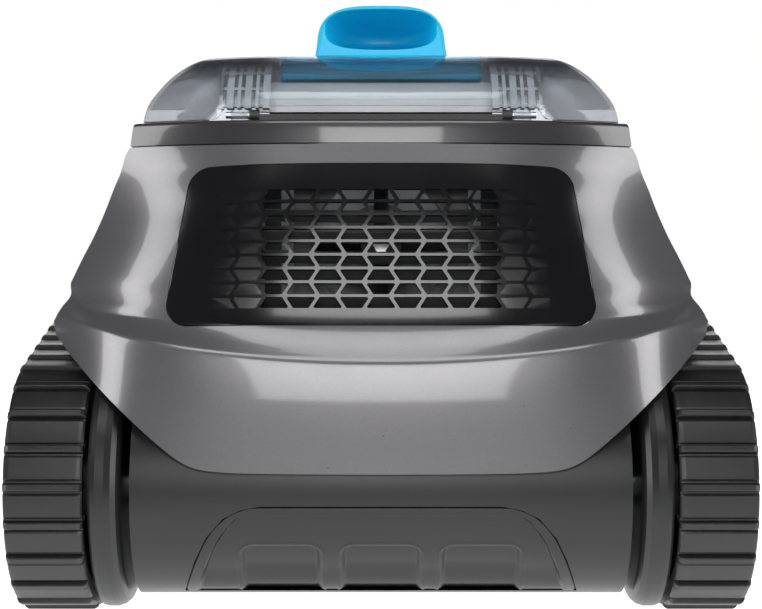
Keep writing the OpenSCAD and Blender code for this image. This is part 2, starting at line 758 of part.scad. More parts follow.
// A spoked wheel on a fixed pin, drawn on the right-hand side
module wheel(y, z, r, spokes) {
    translate([0, y, z]) difference() {
        turned([[track_x - 3, axle_r + fit], [wheel_out - 4, axle_r + fit], [wheel_out - 4, axle_r + 9],
                [wheel_in + 22, axle_r + 9], [wheel_in + 22, r - 7], [wheel_out, r - 7], [wheel_out, r],
                [wheel_in, r], [wheel_in, r - 7], [wheel_in + 16, r - 7], [wheel_in + 16, axle_r + 12],
                [track_x - 3, axle_r + 12]]);
        for (i = [0:spokes - 1]) rotate([i * 360 / spokes, 0, 0])
            translate([0, 0, (r + axle_r + 3) / 2]) disc(wheel_in + 10, wheel_in + 30, (r - axle_r) / 5);
    }
}

module rear_wheel() {
    color("#26272a") wheel(rear_y, rear_r, belt_rear - belt_t - run_gap, 6);
}

module front_wheel() {
    color("#26272a") wheel(front_y, front_r, belt_front - belt_t - run_gap, 8);
}

// Smooth ring that keeps the belt on the rear wheel
module rear_flange() {
    r = rear_r - 1.9;
    color("#1f2022") translate([0, rear_y, rear_r]) turned([
        [track_x - 20, axle_r + fit], [track_x - 3, axle_r + fit],
        [track_x - 3, r - 2], [track_x - 4.5, r - 0.5],
        [track_x - 7, r], [track_x - 12, r], [track_x - 15.5, r - 1.2], [track_x - 18.2, r - 3.6],
        [track_x - 19.6, r - 6.8], [track_x - 20, r - 10]]);
}

function inv_point(rb, t) = [rb * (cos(t) + t * PI / 180 * sin(t)), rb * (sin(t) - t * PI / 180 * cos(t))];
function turn(p, a) = [p[0] * cos(a) - p[1] * sin(a), p[0] * sin(a) + p[1] * cos(a)];

// Involute gear outline with some backlash
module gear_outline(teeth, backlash) {
    rp = gear_m * teeth / 2;
    rb = rp * cos(20);
    tip = rp + 0.9 * gear_m;
    root = rp - 1.2 * gear_m;
    t0 = root > rb ? sqrt(root * root / rb / rb - 1) * 180 / PI : 0;
    t1 = sqrt(tip * tip / rb / rb - 1) * 180 / PI;
    half = 90 / teeth + (tan(20) * 180 / PI - 20) - backlash / rp * 90 / PI;
    polygon([for (i = [0:teeth - 1]) let (a = i * 360 / teeth) each concat(
        [turn([root, 0], a - half - 0.3)],
        [for (k = [0:5]) let (p = inv_point(rb, t0 + (t1 - t0) * k / 5)) turn(p, a - half)],
        [for (k = [5:-1:0]) let (p = inv_point(rb, t0 + (t1 - t0) * k / 5)) turn([p[0], -p[1]], a + half)],
        [turn([root, 0], a + half + 0.3)])]);
}

mesh_angle = atan2(brush_z - front_r, brush_y - front_y);

module left_front_gear() {
    color("#d9dadc") translate([0, front_y, front_r]) difference() {
        union() {
            yz(-gear_x - gear_w, -gear_x) rotate(mesh_angle) gear_outline(wheel_teeth, 0.5);
            disc(-track_x + 3, -gear_x - gear_w + 1, axle_r + 12);
        }
        disc(-track_x, -gear_x + 1, axle_r + fit);
    }
}

module brush_pinion() {
    color("#d9dadc") translate([0, brush_y, brush_z]) difference() {
        yz(-gear_x - gear_w, -gear_x) rotate(mesh_angle + 180 + 180 / brush_teeth)
            gear_outline(brush_teeth, 0.5);
        disc(-gear_x - gear_w - 1, -gear_x + 1, 5);
    }
}

module axle_pins() {
    pin_l = wheel_out - hull_x + 11;
    color("silver") for (side = [-1, 1], a = axles)
        translate([side * (hull_x - 12), a[0], a[1]])
            disc(min(0, side * pin_l), max(0, side * pin_l), axle_r);
}

roller_r = 14;
roller_y = (rear_y + front_y) / 2 - 8;
roller_z = cleat_h + belt_t + run_gap + roller_r;

module guide_roller(side) {
    x = side > 0 ? track_x + 4 : -half_w + 8;
    color("#3a3b3f") translate([0, roller_y, roller_z]) difference() {
        disc(x, x + track_w - 12, roller_r, 64);
        disc(x - 1, x + track_w, 4 + fit, 48);
    }
}

module track_frame(side) {
    gap = 3;
    low = cleat_h + belt_t + gap;
    y0 = rear_y + 20;
    y1 = front_y - 20;
    rise = tan(top_angle - 90);
    z_top = 2 * rear_r - cleat_h - belt_t - gap - 1;
    x0 = side > 0 ? track_x + 2 : -wheel_out;
    color("#232427") union() {
        difference() {
            yz(x0, x0 + wheel_out - wheel_in) polygon([[y0, low], [y1, low],
                [y1, z_top + rise * (y1 - rear_y)], [y0, z_top + rise * (y0 - rear_y)]]);
            translate([0, rear_y, rear_r]) disc(x0 - 1, x0 + track_w, belt_rear - belt_t + 2);
            translate([0, front_y, front_r]) disc(x0 - 1, x0 + track_w, belt_front - belt_t + 2);
            translate([0, roller_y, roller_z]) disc(x0 - 1, x0 + track_w, roller_r + 2);
            box(x0 - 1, x0 + track_w, roller_y - roller_r - 2, roller_y + roller_r + 2, low - 1, roller_z);
            box(side > 0 ? x0 + 5 : x0 - 1, side > 0 ? x0 + track_w : x0 + track_w - 11,
                roller_y - 18, roller_y + 22, roller_z + roller_r + 10, 2 * rear_r - 34);
        }
        // Bracket to the hull and the pin of the guide roller
        box(side > 0 ? hull_x : -track_x - 2, side > 0 ? track_x + 2 : -hull_x,
            roller_y - 10, roller_y + 14, roller_z + roller_r + 12, hull_top - 20);
        box(side > 0 ? track_x - 4 : -track_x - 2, side > 0 ? track_x + 2 : 4 - track_x,
            roller_y - 8, roller_y + 8, roller_z - 8, roller_z + roller_r + 20);
        translate([0, roller_y, roller_z])
            disc(side > 0 ? track_x : 2 - wheel_out, side > 0 ? wheel_out - 2 : -track_x, 4, 48);
    }
}

module cover_outline(d) {
    y0 = roller_y - 24;
    y1 = roller_y + 26;
    polygon([[y0 + d, roller_z + roller_r + 5 + d], [y1 - d, roller_z + roller_r + 5 + d],
             [y1 - 6 - d, 2 * rear_r - 24 - d], [y0 + 8 + d, 2 * rear_r - 30 - d]]);
}

module track_cover(side) {
    x0 = side > 0 ? wheel_out : -wheel_out - 2;
    color("#2b2d31") difference() {
        yz(x0, x0 + 2) cover_outline(0);
        for (y = [roller_y - 16, roller_y + 14])
            translate([0, y, roller_z + roller_r + 14]) disc(x0 - 1, x0 + 3, 1.6, 32);
    }
}

module cover_screws() {
    color("silver") for (side = [-1, 1], y = [roller_y - 16, roller_y + 14])
        translate([0, y, roller_z + roller_r + 14]) union() {
            translate([side * (wheel_out + 1.55), 0, 0]) disc(-1.05, 1.05, 1.5, 32);
            translate([side * (wheel_out + 2.45), 0, 0]) disc(-0.45, 0.45, 3, 32);
        }
}

// Spring clips on the ends of the axle pins
module wheel_clips() {
    color("silver") for (side = [-1, 1], a = axles)
        translate([side * (wheel_out - 0.2), a[0], a[1]]) disc(-0.8, 0.8, axle_r + 4, 64);
}

// ---- Brush ----

module brush_core() {
    color("#2b2d31") translate([0, brush_y, brush_z]) union() {
        disc(-hull_x + 12, hull_x - 12, 14, 64);
        disc(-gear_x - gear_w, hull_x - 2, 5, 48);
    }
}

module brush_blades() {
    color("#1478ad") translate([0, brush_y, brush_z]) for (i = [0:blade_n - 1])
        rotate([i * 360 / blade_n, 0, 0]) box(14 - hull_x, hull_x - 14, -1.4, 1.4, 14, brush_r);
}

module brush_bushes() {
    color("#d9dadc") for (side = [-1, 1])
        translate([side * (hull_x - arm_t / 2), brush_y, brush_z]) difference() {
            disc(-arm_t / 2, arm_t / 2, bush_r, 64);
            disc(-arm_t, arm_t, 5 + fit, 48);
        }
}

module mirrored() {
    mirror([1, 0, 0]) children();
}
module left_track() { track(-1); }
module right_track() { track(1); }
module left_track_frame() { track_frame(-1); }
module right_track_frame() { track_frame(1); }
module left_track_cover() { track_cover(-1); }
module right_track_cover() { track_cover(1); }
module left_guide_roller() { guide_roller(-1); }
module right_guide_roller() { guide_roller(1); }
module right_rear_wheel() { rear_wheel(); }
module left_rear_wheel() { mirrored() rear_wheel(); }
module right_front_wheel() { front_wheel(); }
module left_front_wheel() { mirrored() front_wheel(); }
module right_rear_flange() { rear_flange(); }
module left_rear_flange() { mirrored() rear_flange(); }

hull_tub();
rear_hull_panel();
front_bumper();
bottom_plate();
inlet_throat();
inlet_flap();
upper_shell();
lid_collar();
collar_seal();
hinge_bridge();
hinge_pins();
grille_panel();
grille_screws();
outlet_louvres();
outlet_duct();
pump_motor();
impeller();
impeller_nut();
canister_frame();
canister_mesh();
canister_cover();
canister_floor();
lid_shell();
lid_window();
lid_hinge_arms();
handle_base();
handle();
drive_housing();
drive_housing_cover();
drive_seal();
battery_pack();
control_board();
drive_motors();
charging_port();
charging_cap();
float_block();
axle_pins();
left_track();
right_track();
left_track_frame();
right_track_frame();
left_track_cover();
right_track_cover();
cover_screws();
base_screws();
left_rear_wheel();
right_rear_wheel();
left_rear_flange();
right_rear_flange();
left_front_wheel();
right_front_wheel();
left_front_gear();
left_guide_roller();
right_guide_roller();
wheel_clips();
brush_core();
brush_blades();
brush_pinion();
brush_bushes();
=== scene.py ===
import math

import bmesh
import bpy
import numpy as np
from mathutils import Matrix, Vector
from mathutils.bvhtree import BVHTree


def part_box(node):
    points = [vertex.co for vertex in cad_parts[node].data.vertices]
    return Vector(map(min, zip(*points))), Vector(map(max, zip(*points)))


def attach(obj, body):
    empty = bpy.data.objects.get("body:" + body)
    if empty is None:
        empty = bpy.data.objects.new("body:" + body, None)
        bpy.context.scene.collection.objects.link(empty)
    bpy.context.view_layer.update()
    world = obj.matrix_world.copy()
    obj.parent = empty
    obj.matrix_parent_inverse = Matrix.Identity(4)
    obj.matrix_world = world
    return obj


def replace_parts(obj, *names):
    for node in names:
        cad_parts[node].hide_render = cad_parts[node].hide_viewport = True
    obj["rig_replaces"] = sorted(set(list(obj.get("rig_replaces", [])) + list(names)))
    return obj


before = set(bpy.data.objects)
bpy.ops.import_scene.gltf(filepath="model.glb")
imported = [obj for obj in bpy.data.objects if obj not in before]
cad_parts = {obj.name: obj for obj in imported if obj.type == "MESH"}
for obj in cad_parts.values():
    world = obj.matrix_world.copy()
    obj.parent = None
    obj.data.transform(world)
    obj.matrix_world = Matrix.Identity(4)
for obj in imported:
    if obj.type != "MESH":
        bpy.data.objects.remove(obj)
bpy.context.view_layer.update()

mm = 0.001
mergeGap = 1e-6  # points nearer than this become one, in metres


class Field:  # one socket that takes part in shader sums
    def __init__(self, tree, socket):
        self.tree, self.socket = tree, socket

    def sum(self, operation, *terms, clamp=False):
        node = self.tree.nodes.new("ShaderNodeMath")
        node.operation, node.use_clamp = operation, clamp
        for slot, term in zip(node.inputs, terms):
            plug(self.tree, slot, term)
        return Field(self.tree, node.outputs[0])

    def __add__(self, other):
        return self.sum("ADD", self, other)

    def __radd__(self, other):
        return self.sum("ADD", other, self)

    def __sub__(self, other):
        return self.sum("SUBTRACT", self, other)

    def __rsub__(self, other):
        return self.sum("SUBTRACT", other, self)

    def __mul__(self, other):
        return self.sum("MULTIPLY", self, other)

    def __rmul__(self, other):
        return self.sum("MULTIPLY", other, self)

    def __abs__(self):
        return self.sum("ABSOLUTE", self)

    def larger(self, other):
        return self.sum("MAXIMUM", self, other)

    def clipped(self):
        return self.sum("ADD", self, 0.0, clamp=True)


def plug(tree, slot, value):
    if isinstance(value, Field):
        tree.links.new(value.socket, slot)
    elif isinstance(value, (tuple, list)) and slot.type == "RGBA" and len(value) == 3:
        slot.default_value = (*value, 1.0)
    else:
        slot.default_value = value


class Nodes:  # a node tree, and the one way to add a node to it
    def __init__(self, tree):
        self.tree = tree
        tree.nodes.clear()

    def node(self, kind, settings=None, sockets=None, output=0):
        made = self.tree.nodes.new("ShaderNode" + kind)
        for key, value in (settings or {}).items():
            setattr(made, key, value)
        for key, value in (sockets or {}).items():
            plug(self.tree, made.inputs[key], value)
        return Field(self.tree, made.outputs[output]) if len(made.outputs) else None

    def mix(self, factor, a, b):  # shaders
        return self.node("MixShader", None, {0: factor, 1: a, 2: b})


class Finish(Nodes):  # a material
    def __init__(self, name):
        self.material = bpy.data.materials.new(name)
        self.material.use_nodes = True
        super().__init__(self.material.node_tree)
        self.place = self.node("TexCoord", output="Object")

    def noise(self, scale, detail=2.0, rough=0.5, stretch=None):
        where = self.place
        if stretch:
            where = self.node("Mapping", None, {"Vector": where, "Scale": stretch})
        return self.node("TexNoise", None, {"Vector": where, "Scale": scale, "Detail": detail,
                                            "Roughness": rough})

    def cells(self, scale, feature="F1"):
        return self.node("TexVoronoi", {"feature": feature}, {"Vector": self.place, "Scale": scale},
                         "Distance")

    def axis(self, name):
        return self.node("SeparateXYZ", None, {"Vector": self.place}, name)

    def blend(self, factor, a, b):  # colours
        return self.node("Mix", {"data_type": "RGBA"}, {0: factor, 6: a, 7: b}, 2)

    def between(self, value, low, high, to0=0.0, to1=1.0):
        return self.node("MapRange", {"interpolation_type": "SMOOTHSTEP"},
                         {"Value": value, "From Min": low, "From Max": high,
                          "To Min": to0, "To Max": to1})

    def bump(self, height, strength, depth):
        return self.node("Bump", None, {"Height": height, "Strength": strength, "Distance": depth})

    def see(self, colour):  # see-through, tinted
        return self.node("BsdfTransparent", None, {"Color": colour})

    def body(self, **sockets):
        names = {"colour": "Base Color", "rough": "Roughness", "metal": "Metallic",
                 "coat": "Coat Weight", "coatRough": "Coat Roughness", "normal": "Normal",
                 "gloss": "Specular IOR Level"}
        return self.node("BsdfPrincipled", None, {names[key]: value for key, value in sockets.items()})

    def done(self, shader):
        self.node("OutputMaterial", None, {"Surface": shader})
        return self.material


def boxOf(node):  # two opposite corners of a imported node, in millimetres
    low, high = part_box(node)
    return np.array(low) / mm, np.array(high) / mm


def middleOf(node):
    low, high = boxOf(node)
    return (low + high) / 2


def smoothCurve(points):  # monotone curve through the points, for drawn profiles
    x, y = np.array(points, float).T
    gap = np.diff(x)
    rise = np.diff(y) / gap
    before, after = 2 * gap[1:] + gap[:-1], gap[1:] + 2 * gap[:-1]
    same = rise[1:] * rise[:-1] > 0
    left, right = np.where(same, rise[:-1], 1), np.where(same, rise[1:], 1)
    middle = np.where(same, (before + after) / (before / left + after / right), 0)
    slope = np.concatenate([rise[:1], middle, rise[-1:]])

    def at(value):
        value = np.clip(value, x[0], x[-1])
        i = np.clip(np.searchsorted(x, value, side="right") - 1, 0, len(gap) - 1)
        t = (value - x[i]) / gap[i]
        return (y[i] * (1 + 2 * t) * (1 - t) ** 2 + slope[i] * gap[i] * t * (1 - t) ** 2
                + y[i + 1] * t * t * (3 - 2 * t) - slope[i + 1] * gap[i] * t * t * (1 - t))
    return at


def step(value, low, high):
    t = np.clip((value - low) / (high - low), 0, 1)
    return t * t * (3 - 2 * t)


def gridFaces(rows, columns, start=0, closed=True, flip=False):
    faces = []
    for r in range(rows - 1):
        for c in range(columns if closed else columns - 1):
            a, b = start + r * columns + c, start + r * columns + (c + 1) % columns
            face = (a, b, b + columns, a + columns)
            faces.append(face[::-1] if flip else face)
    return faces


def wrapFaces(rows, columns):  # a grid that closes both ways
    return [(r * columns + c, r * columns + (c + 1) % columns,
             (r + 1) % rows * columns + (c + 1) % columns, (r + 1) % rows * columns + c)
            for r in range(rows) for c in range(columns)]


def newObject(name, points, faces):
    mesh = bpy.data.meshes.new(name)
    mesh.from_pydata((np.asarray(points, float) * mm).tolist(), [], faces)
    mesh.update()
    piece = bpy.data.objects.new(name, mesh)
    bpy.context.collection.objects.link(piece)
    return piece


def faceOut(piece, merge):
    form = bmesh.new()
    form.from_mesh(piece.data)
    if merge:
        bmesh.ops.remove_doubles(form, verts=form.verts, dist=mergeGap)
    bmesh.ops.recalc_face_normals(form, faces=form.faces)
    form.to_mesh(piece.data)
    form.free()


def cleanUp(piece, angle):  # merges points, faces out and shades smooth up to the angle
    faceOut(piece, True)
    piece.data.polygons.foreach_set("use_smooth", [True] * len(piece.data.polygons))
    piece.data.set_sharp_from_angle(angle=math.radians(angle))


def dress(piece, finish):
    piece.data.materials.clear()
    piece.data.materials.append(finish)


def makePiece(name, points, faces, finish, body="root", stands=(), slot=None, angle=38):
    piece = newObject(name, points, faces)
    cleanUp(piece, angle)
    dress(piece, finish)
    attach(piece, body)
    if stands:
        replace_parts(piece, *stands)
    return piece


def looseMesh(name, points, faces):  # a helper solid that is used up by a cut
    solid = newObject(name, points, faces)
    faceOut(solid, False)
    return solid


def cut(piece, tool, operation="DIFFERENCE"):
    knife = piece.modifiers.new("cut", "BOOLEAN")
    knife.operation, knife.object, knife.solver = operation, tool, "EXACT"
    graph = bpy.context.evaluated_depsgraph_get()
    baked = bpy.data.meshes.new_from_object(piece.evaluated_get(graph))
    piece.modifiers.clear()
    piece.data = baked
    bpy.data.objects.remove(tool)


def loft(name, rings, finish, **rest):  # closed rings skinned in order, the first and the last capped
    rings = np.asarray(rings, float)
    count, size = rings.shape[:2]
    points = np.concatenate([rings.reshape(-1, 3), [rings[0].mean(0)], [rings[-1].mean(0)]])
    faces = gridFaces(count, size)
    first, last, end = count * size, count * size + 1, (count - 1) * size
    faces += [(first, (c + 1) % size, c) for c in range(size)]
    faces += [(last, end + c, end + (c + 1) % size) for c in range(size)]
    return makePiece(name, points, faces, finish, **rest)


def wall(name, outer, inner, finish, **rest):  # a wall between two stacks of closed rings
    outer, inner = np.asarray(outer, float), np.asarray(inner, float)
    rows, size = outer.shape[:2]
    points = np.concatenate([outer.reshape(-1, 3), inner.reshape(-1, 3)])
    back = rows * size
    faces = gridFaces(rows, size) + gridFaces(rows, size, back, flip=True)
    for row, flip in ((0, True), (rows - 1, False)):
        for c in range(size):
            a, b = row * size + c, row * size + (c + 1) % size
            face = (a, b, b + back, a + back)
            faces.append(face[::-1] if flip else face)
    return makePiece(name, points, faces, finish, **rest)


def superRing(a, b, n, count, y, middle):  # an upright ring in X and Z
    t = np.linspace(0, 2 * np.pi, count, endpoint=False)
    c, s = np.cos(t), np.sin(t)
    return np.stack([a * np.sign(c) * np.abs(c) ** (2 / n), np.full(count, y),
                     middle + b * np.sign(s) * np.abs(s) ** (2 / n)], 1)


def flatRing(a, b, corner, count, centre, z):  # a level ring: a rectangle with round corners
    t = np.linspace(0, 2 * np.pi, count, endpoint=False) + np.pi / count
    c, s = np.cos(t), np.sin(t)
    spread = 1.6  # how soon each straight side is reached
    x = (a - corner) * np.clip(c * spread, -1, 1) + corner * c
    y = (b - corner) * np.clip(s * spread, -1, 1) + corner * s
    return np.stack([x + centre[0], y + centre[1], np.full(count, z)], 1)


def shellGrey(name="metallic_grey_shell", depth=1.0):  # a lower depth darkens the grey, which paints shade into it
    f = Finish(name)
    dark, light, glint = ([c * depth for c in tone] for tone in (
        (0.084, 0.081, 0.086), (0.108, 0.104, 0.110), (0.178, 0.174, 0.181)))
    flake = f.cells(2600)
    cloud = f.noise(9, 3)
    peel = f.noise(420, 2)
    tone = f.blend(cloud, dark, light)
    tone = f.blend((flake * 0.55).clipped(), tone, glint)
    rub = f.noise(60, 6, 0.7)
    return f.done(f.body(colour=tone, metal=0.45, rough=0.25 + rub * 0.08, coat=0.6, coatRough=0.06,
                         normal=f.bump(peel, 0.05, 0.0004)))


def hullBlack():
    f = Finish("satin_black_hull")
    grain = f.noise(1500, 4, 0.6)
    cloud = f.noise(14, 3)
    tone = f.blend(cloud, (0.006, 0.0062, 0.0068), (0.012, 0.0122, 0.013))
    return f.done(f.body(colour=tone, rough=0.27 + cloud * 0.1, gloss=0.42,
                         normal=f.bump(grain, 0.12, 0.0004)))


def glossBlack():
    f = Finish("gloss_black_panel")
    haze = f.noise(22, 4, 0.6)
    speck = f.noise(900, 2)
    tone = f.blend(haze, (0.0035, 0.0035, 0.004), (0.0075, 0.0075, 0.0085))
    return f.done(f.body(colour=tone, rough=0.1 + haze * 0.08, gloss=0.38, coat=0.2, coatRough=0.05,
                         normal=f.bump(speck, 0.03, 0.0002)))


def clearLid():  # smoked in a band round its top, milky along its foot
    f = Finish("clear_smoked_lid")
    wave = f.noise(7, 2)
    smear = f.noise(45, 5, 0.65)
    height = f.axis("Z")
    clear, dark = f.see((0.90, 0.92, 0.94)), f.see((0.22, 0.23, 0.25))
    shine = f.node("BsdfGlossy", None, {"Color": (0.96, 0.97, 1.0), "Roughness": 0.05,
                                       "Normal": f.bump(wave, 0.25, 0.004)})
    milk = f.node("BsdfDiffuse", None, {"Color": (0.62, 0.64, 0.66)})
    sides = f.between(abs(f.axis("X")), 0.058, 0.075, 0.2, 1)  # clear in front of the handle plate
    through = f.mix(f.between(height, 0.321, 0.332, 0, 0.9) * sides, clear, dark)
    rim = f.node("LayerWeight", None, {"Blend": 0.3}, "Facing")
    through = f.mix(f.between(rim, 0.5, 0.95, 0, 0.6), through, dark)
    foot = (1 - f.between(height, 0.289, 0.317)) * 0.12
    haze = 0.005 + smear * 0.03 + foot * (0.4 + smear)
    through = f.mix(haze.clipped(), through, milk)
    edge = f.node("LayerWeight", None, {"Blend": 0.16}, "Fresnel")
    return f.done(f.mix((edge * 0.62 + 0.02).clipped(), through, shine))


def clearRib():
    f = Finish("clear_lid_ribs_painted_highlight")
    sheenNoise = f.noise(120, 4)
    clear = f.see((0.86, 0.88, 0.9))
    # painted highlight: the clear ribs are mixed with a pale body, more where seen edge-on, to stand in for
    # their bright reflections
    pale = f.body(colour=f.blend(sheenNoise, (0.55, 0.57, 0.59), (0.86, 0.88, 0.9)), rough=0.16, gloss=0.6)
    edge = f.node("LayerWeight", None, {"Blend": 0.4}, "Facing")
    return f.done(f.mix((edge * 0.5 + 0.42 + sheenNoise * 0.1).clipped(), clear, pale))


def handleBlue():
    f = Finish("bright_blue_handle")
    cloud = f.noise(26, 3)
    grain = f.noise(1300, 3)
    tone = f.blend(cloud, (0.003, 0.42, 0.68), (0.006, 0.52, 0.82))
    return f.done(f.body(colour=tone, rough=0.34 + cloud * 0.1, gloss=0.3, coat=0.08, coatRough=0.12,
                         normal=f.bump(grain, 0.05, 0.0003)))


def lightGrey():
    f = Finish("light_grey_cover")
    cloud = f.noise(18, 3)
    grain = f.noise(1200, 3)
    tone = f.blend(cloud, (0.62, 0.625, 0.63), (0.74, 0.745, 0.75))
    return f.done(f.body(colour=tone, rough=0.24 + cloud * 0.08, coat=0.4, coatRough=0.08,
                         normal=f.bump(grain, 0.05, 0.0003)))


def darkPlastic():
    f = Finish("dark_moulded_plastic")
    cloud = f.noise(30, 3)
    grain = f.cells(1700, "SMOOTH_F1")
    tone = f.blend(cloud, (0.020, 0.021, 0.023), (0.036, 0.037, 0.040))
    return f.done(f.body(colour=tone, rough=0.4 + cloud * 0.14, normal=f.bump(grain, 0.16, 0.0004)))


def louvreShadedGrey():
    f = Finish("outlet_vanes_painted_shade")
    cloud = f.noise(40, 4)
    grain = f.noise(1100, 3)
    # grey vanes, their tones darkened as painted shade for the inside of the outlet
    tone = f.blend(cloud, (0.045, 0.046, 0.048), (0.085, 0.086, 0.09))
    return f.done(f.body(colour=tone, rough=0.32 + cloud * 0.1, normal=f.bump(grain, 0.08, 0.0003)))


def trackRubber():
    f = Finish("track_rubber")
    dust = f.noise(38, 6, 0.7)
    pores = f.noise(1900, 4, 0.65)
    scuff = f.noise(150, 5, 0.7, (1, 0.15, 0.15))
    tone = f.blend(dust, (0.006, 0.006, 0.0063), (0.012, 0.012, 0.0122))
    tone = f.blend(f.between(scuff, 0.58, 0.78, 0, 0.5), tone, (0.024, 0.024, 0.024))
    return f.done(f.body(colour=tone, rough=0.25 + dust * 0.2, gloss=0.5, normal=f.bump(pores, 0.15, 0.0004)))


def sealRubber():
    f = Finish("seal_rubber")
    pores = f.noise(1600, 4)
    cloud = f.noise(50, 3)
    tone = f.blend(cloud, (0.008, 0.008, 0.008), (0.018, 0.018, 0.018))
    return f.done(f.body(colour=tone, rough=0.6 + cloud * 0.15, normal=f.bump(pores, 0.25, 0.0004)))


def brushBlade():
    f = Finish("brush_blade_rubber")
    cloud = f.noise(35, 4)
    ribs = f.node("TexWave", {"wave_type": "BANDS", "bands_direction": "X"},
                  {"Vector": f.place, "Scale": 60.0, "Distortion": 0.4})
    tone = f.blend(cloud, (0.008, 0.16, 0.36), (0.016, 0.24, 0.48))
    return f.done(f.body(colour=tone, rough=0.42 + cloud * 0.16, normal=f.bump(ribs, 0.3, 0.0006)))


def brushedSteel():
    f = Finish("brushed_steel")
    lines = f.noise(260, 6, 0.75, (1, 12, 12))
    cloud = f.noise(30, 3)
    tone = f.blend(lines, (0.42, 0.42, 0.43), (0.66, 0.66, 0.67))
    return f.done(f.body(colour=tone, metal=1.0, rough=0.22 + cloud * 0.16,
                         normal=f.bump(lines, 0.1, 0.0002)))


def nylonMesh():  # threads both ways, with see-through holes between them
    f = Finish("filter_mesh")
    x, y, z = (f.axis(name) for name in "XYZ")
    pitch = 4200
    along = f.node("Math", {"operation": "SINE"}, {0: (x + y) * pitch})
    up = f.node("Math", {"operation": "SINE"}, {0: z * pitch})
    thread = f.between(abs(along).larger(abs(up)), 0.72, 0.86)
    tone = f.blend(f.noise(60, 3), (0.50, 0.51, 0.52), (0.66, 0.67, 0.68))
    woven = f.body(colour=tone, rough=0.5, normal=f.bump(thread, 0.5, 0.0003))
    return f.done(f.mix(0.35 + thread * 0.65, f.see((0.8, 0.8, 0.8)), woven))


def gearWhite():
    f = Finish("white_acetal")
    cloud = f.noise(40, 3)
    grain = f.noise(900, 3)
    tone = f.blend(cloud, (0.66, 0.67, 0.67), (0.78, 0.79, 0.79))
    return f.done(f.body(colour=tone, rough=0.36 + cloud * 0.1, normal=f.bump(grain, 0.06, 0.0003)))


def boardGreen():
    f = Finish("circuit_board")
    tracks = f.cells(180, "DISTANCE_TO_EDGE")
    copper = f.between(tracks, 0.02, 0.05, 1, 0)
    tone = f.blend(copper, (0.010, 0.10, 0.040), (0.05, 0.22, 0.09))
    return f.done(f.body(colour=tone, rough=0.3 + f.noise(80) * 0.15, normal=f.bump(copper, 0.3, 0.0003)))


def batteryWrap():
    f = Finish("battery_wrap")
    creases = f.noise(55, 5, 0.6, (0.3, 1, 1))
    tone = f.blend(creases, (0.02, 0.10, 0.24), (0.03, 0.16, 0.34))
    return f.done(f.body(colour=tone, rough=0.25 + creases * 0.2, normal=f.bump(creases, 0.3, 0.001)))


def floatFoam():
    f = Finish("float_foam")
    cells = f.cells(420, "SMOOTH_F1")
    tone = f.blend(f.noise(20, 4), (0.62, 0.61, 0.56), (0.76, 0.75, 0.70))
    return f.done(f.body(colour=tone, rough=0.75 + cells * 0.1, normal=f.bump(cells, 0.5, 0.0012)))


finishes = {
    "shell_grey": shellGrey(), "hull_black": hullBlack(), "gloss_black": glossBlack(),
    "lid_clear": clearLid(), "handle_blue": handleBlue(), "light_grey": lightGrey(),
    "dark_plastic": darkPlastic(), "track_rubber": trackRubber(), "seal_rubber": sealRubber(),
    "brush_pvc": brushBlade(), "steel": brushedSteel(), "mesh_nylon": nylonMesh(),
    "gear_white": gearWhite(), "board_green": boardGreen(), "battery_wrap": batteryWrap(),
    "float_foam": floatFoam()}
# the collar band's finish is the shell grey darkened to 0.38: painted shade on the same grey as the shell
ribHighlightFinish, shadedVaneFinish, shadedCollarFinish = clearRib(), louvreShadedGrey(), shellGrey("shell_grey_painted_shade", 0.38)
print("finishes made:", len(finishes) + 3)

# Measures read from the frame, all in millimetres
halfLength = -boxOf("left_track")[0][1]
halfWidth = boxOf("right_track")[1][0]
trackInside = boxOf("right_track")[0][0]
rearAxle, frontAxle = middleOf("right_rear_wheel"), middleOf("right_front_wheel")
rearRadius, frontRadius = rearAxle[2], frontAxle[2]
shellTop = boxOf("upper_shell")[1][2]
collarTop = boxOf("lid_collar")[1][2]
lidTop = boxOf("lid_window")[1][2]
hullRadius = (boxOf("hull_tub")[1][2] - boxOf("hull_tub")[0][2]) / 2

# The shell is skinned in level rings: s runs across it from -1 to 1, v runs up it from 0 to 1
shell = dict(side=194.0, hem=85.5, cornerHem=2 * rearRadius + 14, noseHem=150.0,
             frontCornerHem=2 * frontRadius + 10, hullSide=140.6, noseRamp=8.0, thickness=3.0,
             firstCrease=0.3, secondCrease=0.42, hemTurn=0.56, hemRound=0.0036, hemRise=2.25)
ledge = dict(low=148.5, lowRise=27.5, high=168.0, highRise=9.0, cornerRise=11.0,
             crispFrom=0.3, crispTo=0.72)
nose = dict(firstShare=0.2, secondShare=0.3, lip=3.5, lipEnd=0.9, sweepLow=50.0, sweepTop=27.0)
sideInset = smoothCurve([(0, 1.0), (.052, 0.2), (.134, 3), (.211, 7.2), (.262, 6.8), (.31, 9),
                         (.411, 14.5), (.504, 20), (.594, 24.7), (.675, 28.6), (.783, 33.5),
                         (.869, 37.8), (.962, 41), (1, 43.5)])
softOut = smoothCurve([(0, 6), (.22, 7.7), (.285, 9.5), (.3, 10.6), (.32, 13), (.36, 17.6),
                       (.42, 22.8), (.595, 31), (.814, 41.5), (1, 53.5)])
crispOut = smoothCurve([(0, 6), (.22, 7.6), (.285, 9.4), (.3, 10.6), (.315, 12.6), (.40, 24),
                        (.42, 25.6), (.45, 26.6), (.595, 31.5), (.814, 41.5), (1, 53.5)])
sweepAt = smoothCurve([(0, 64), (.41, 64), (.76, 50), (1, 27)])
frontOut = smoothCurve([(0, 30), (.3, 38), (.7, 66), (1, 95)])


def share(z, start):
    return np.clip((z - start) / (shellTop - start), 0, 1)


def rearHem(s):
    past = np.abs(s) - shell["hemTurn"]
    ramp = (past + np.sqrt(past * past + shell["hemRound"])) / 2
    rise = shell["hemRise"] * (shell["cornerHem"] - shell["hem"]) * ramp
    return np.minimum(shell["hem"] + rise, shell["cornerHem"])


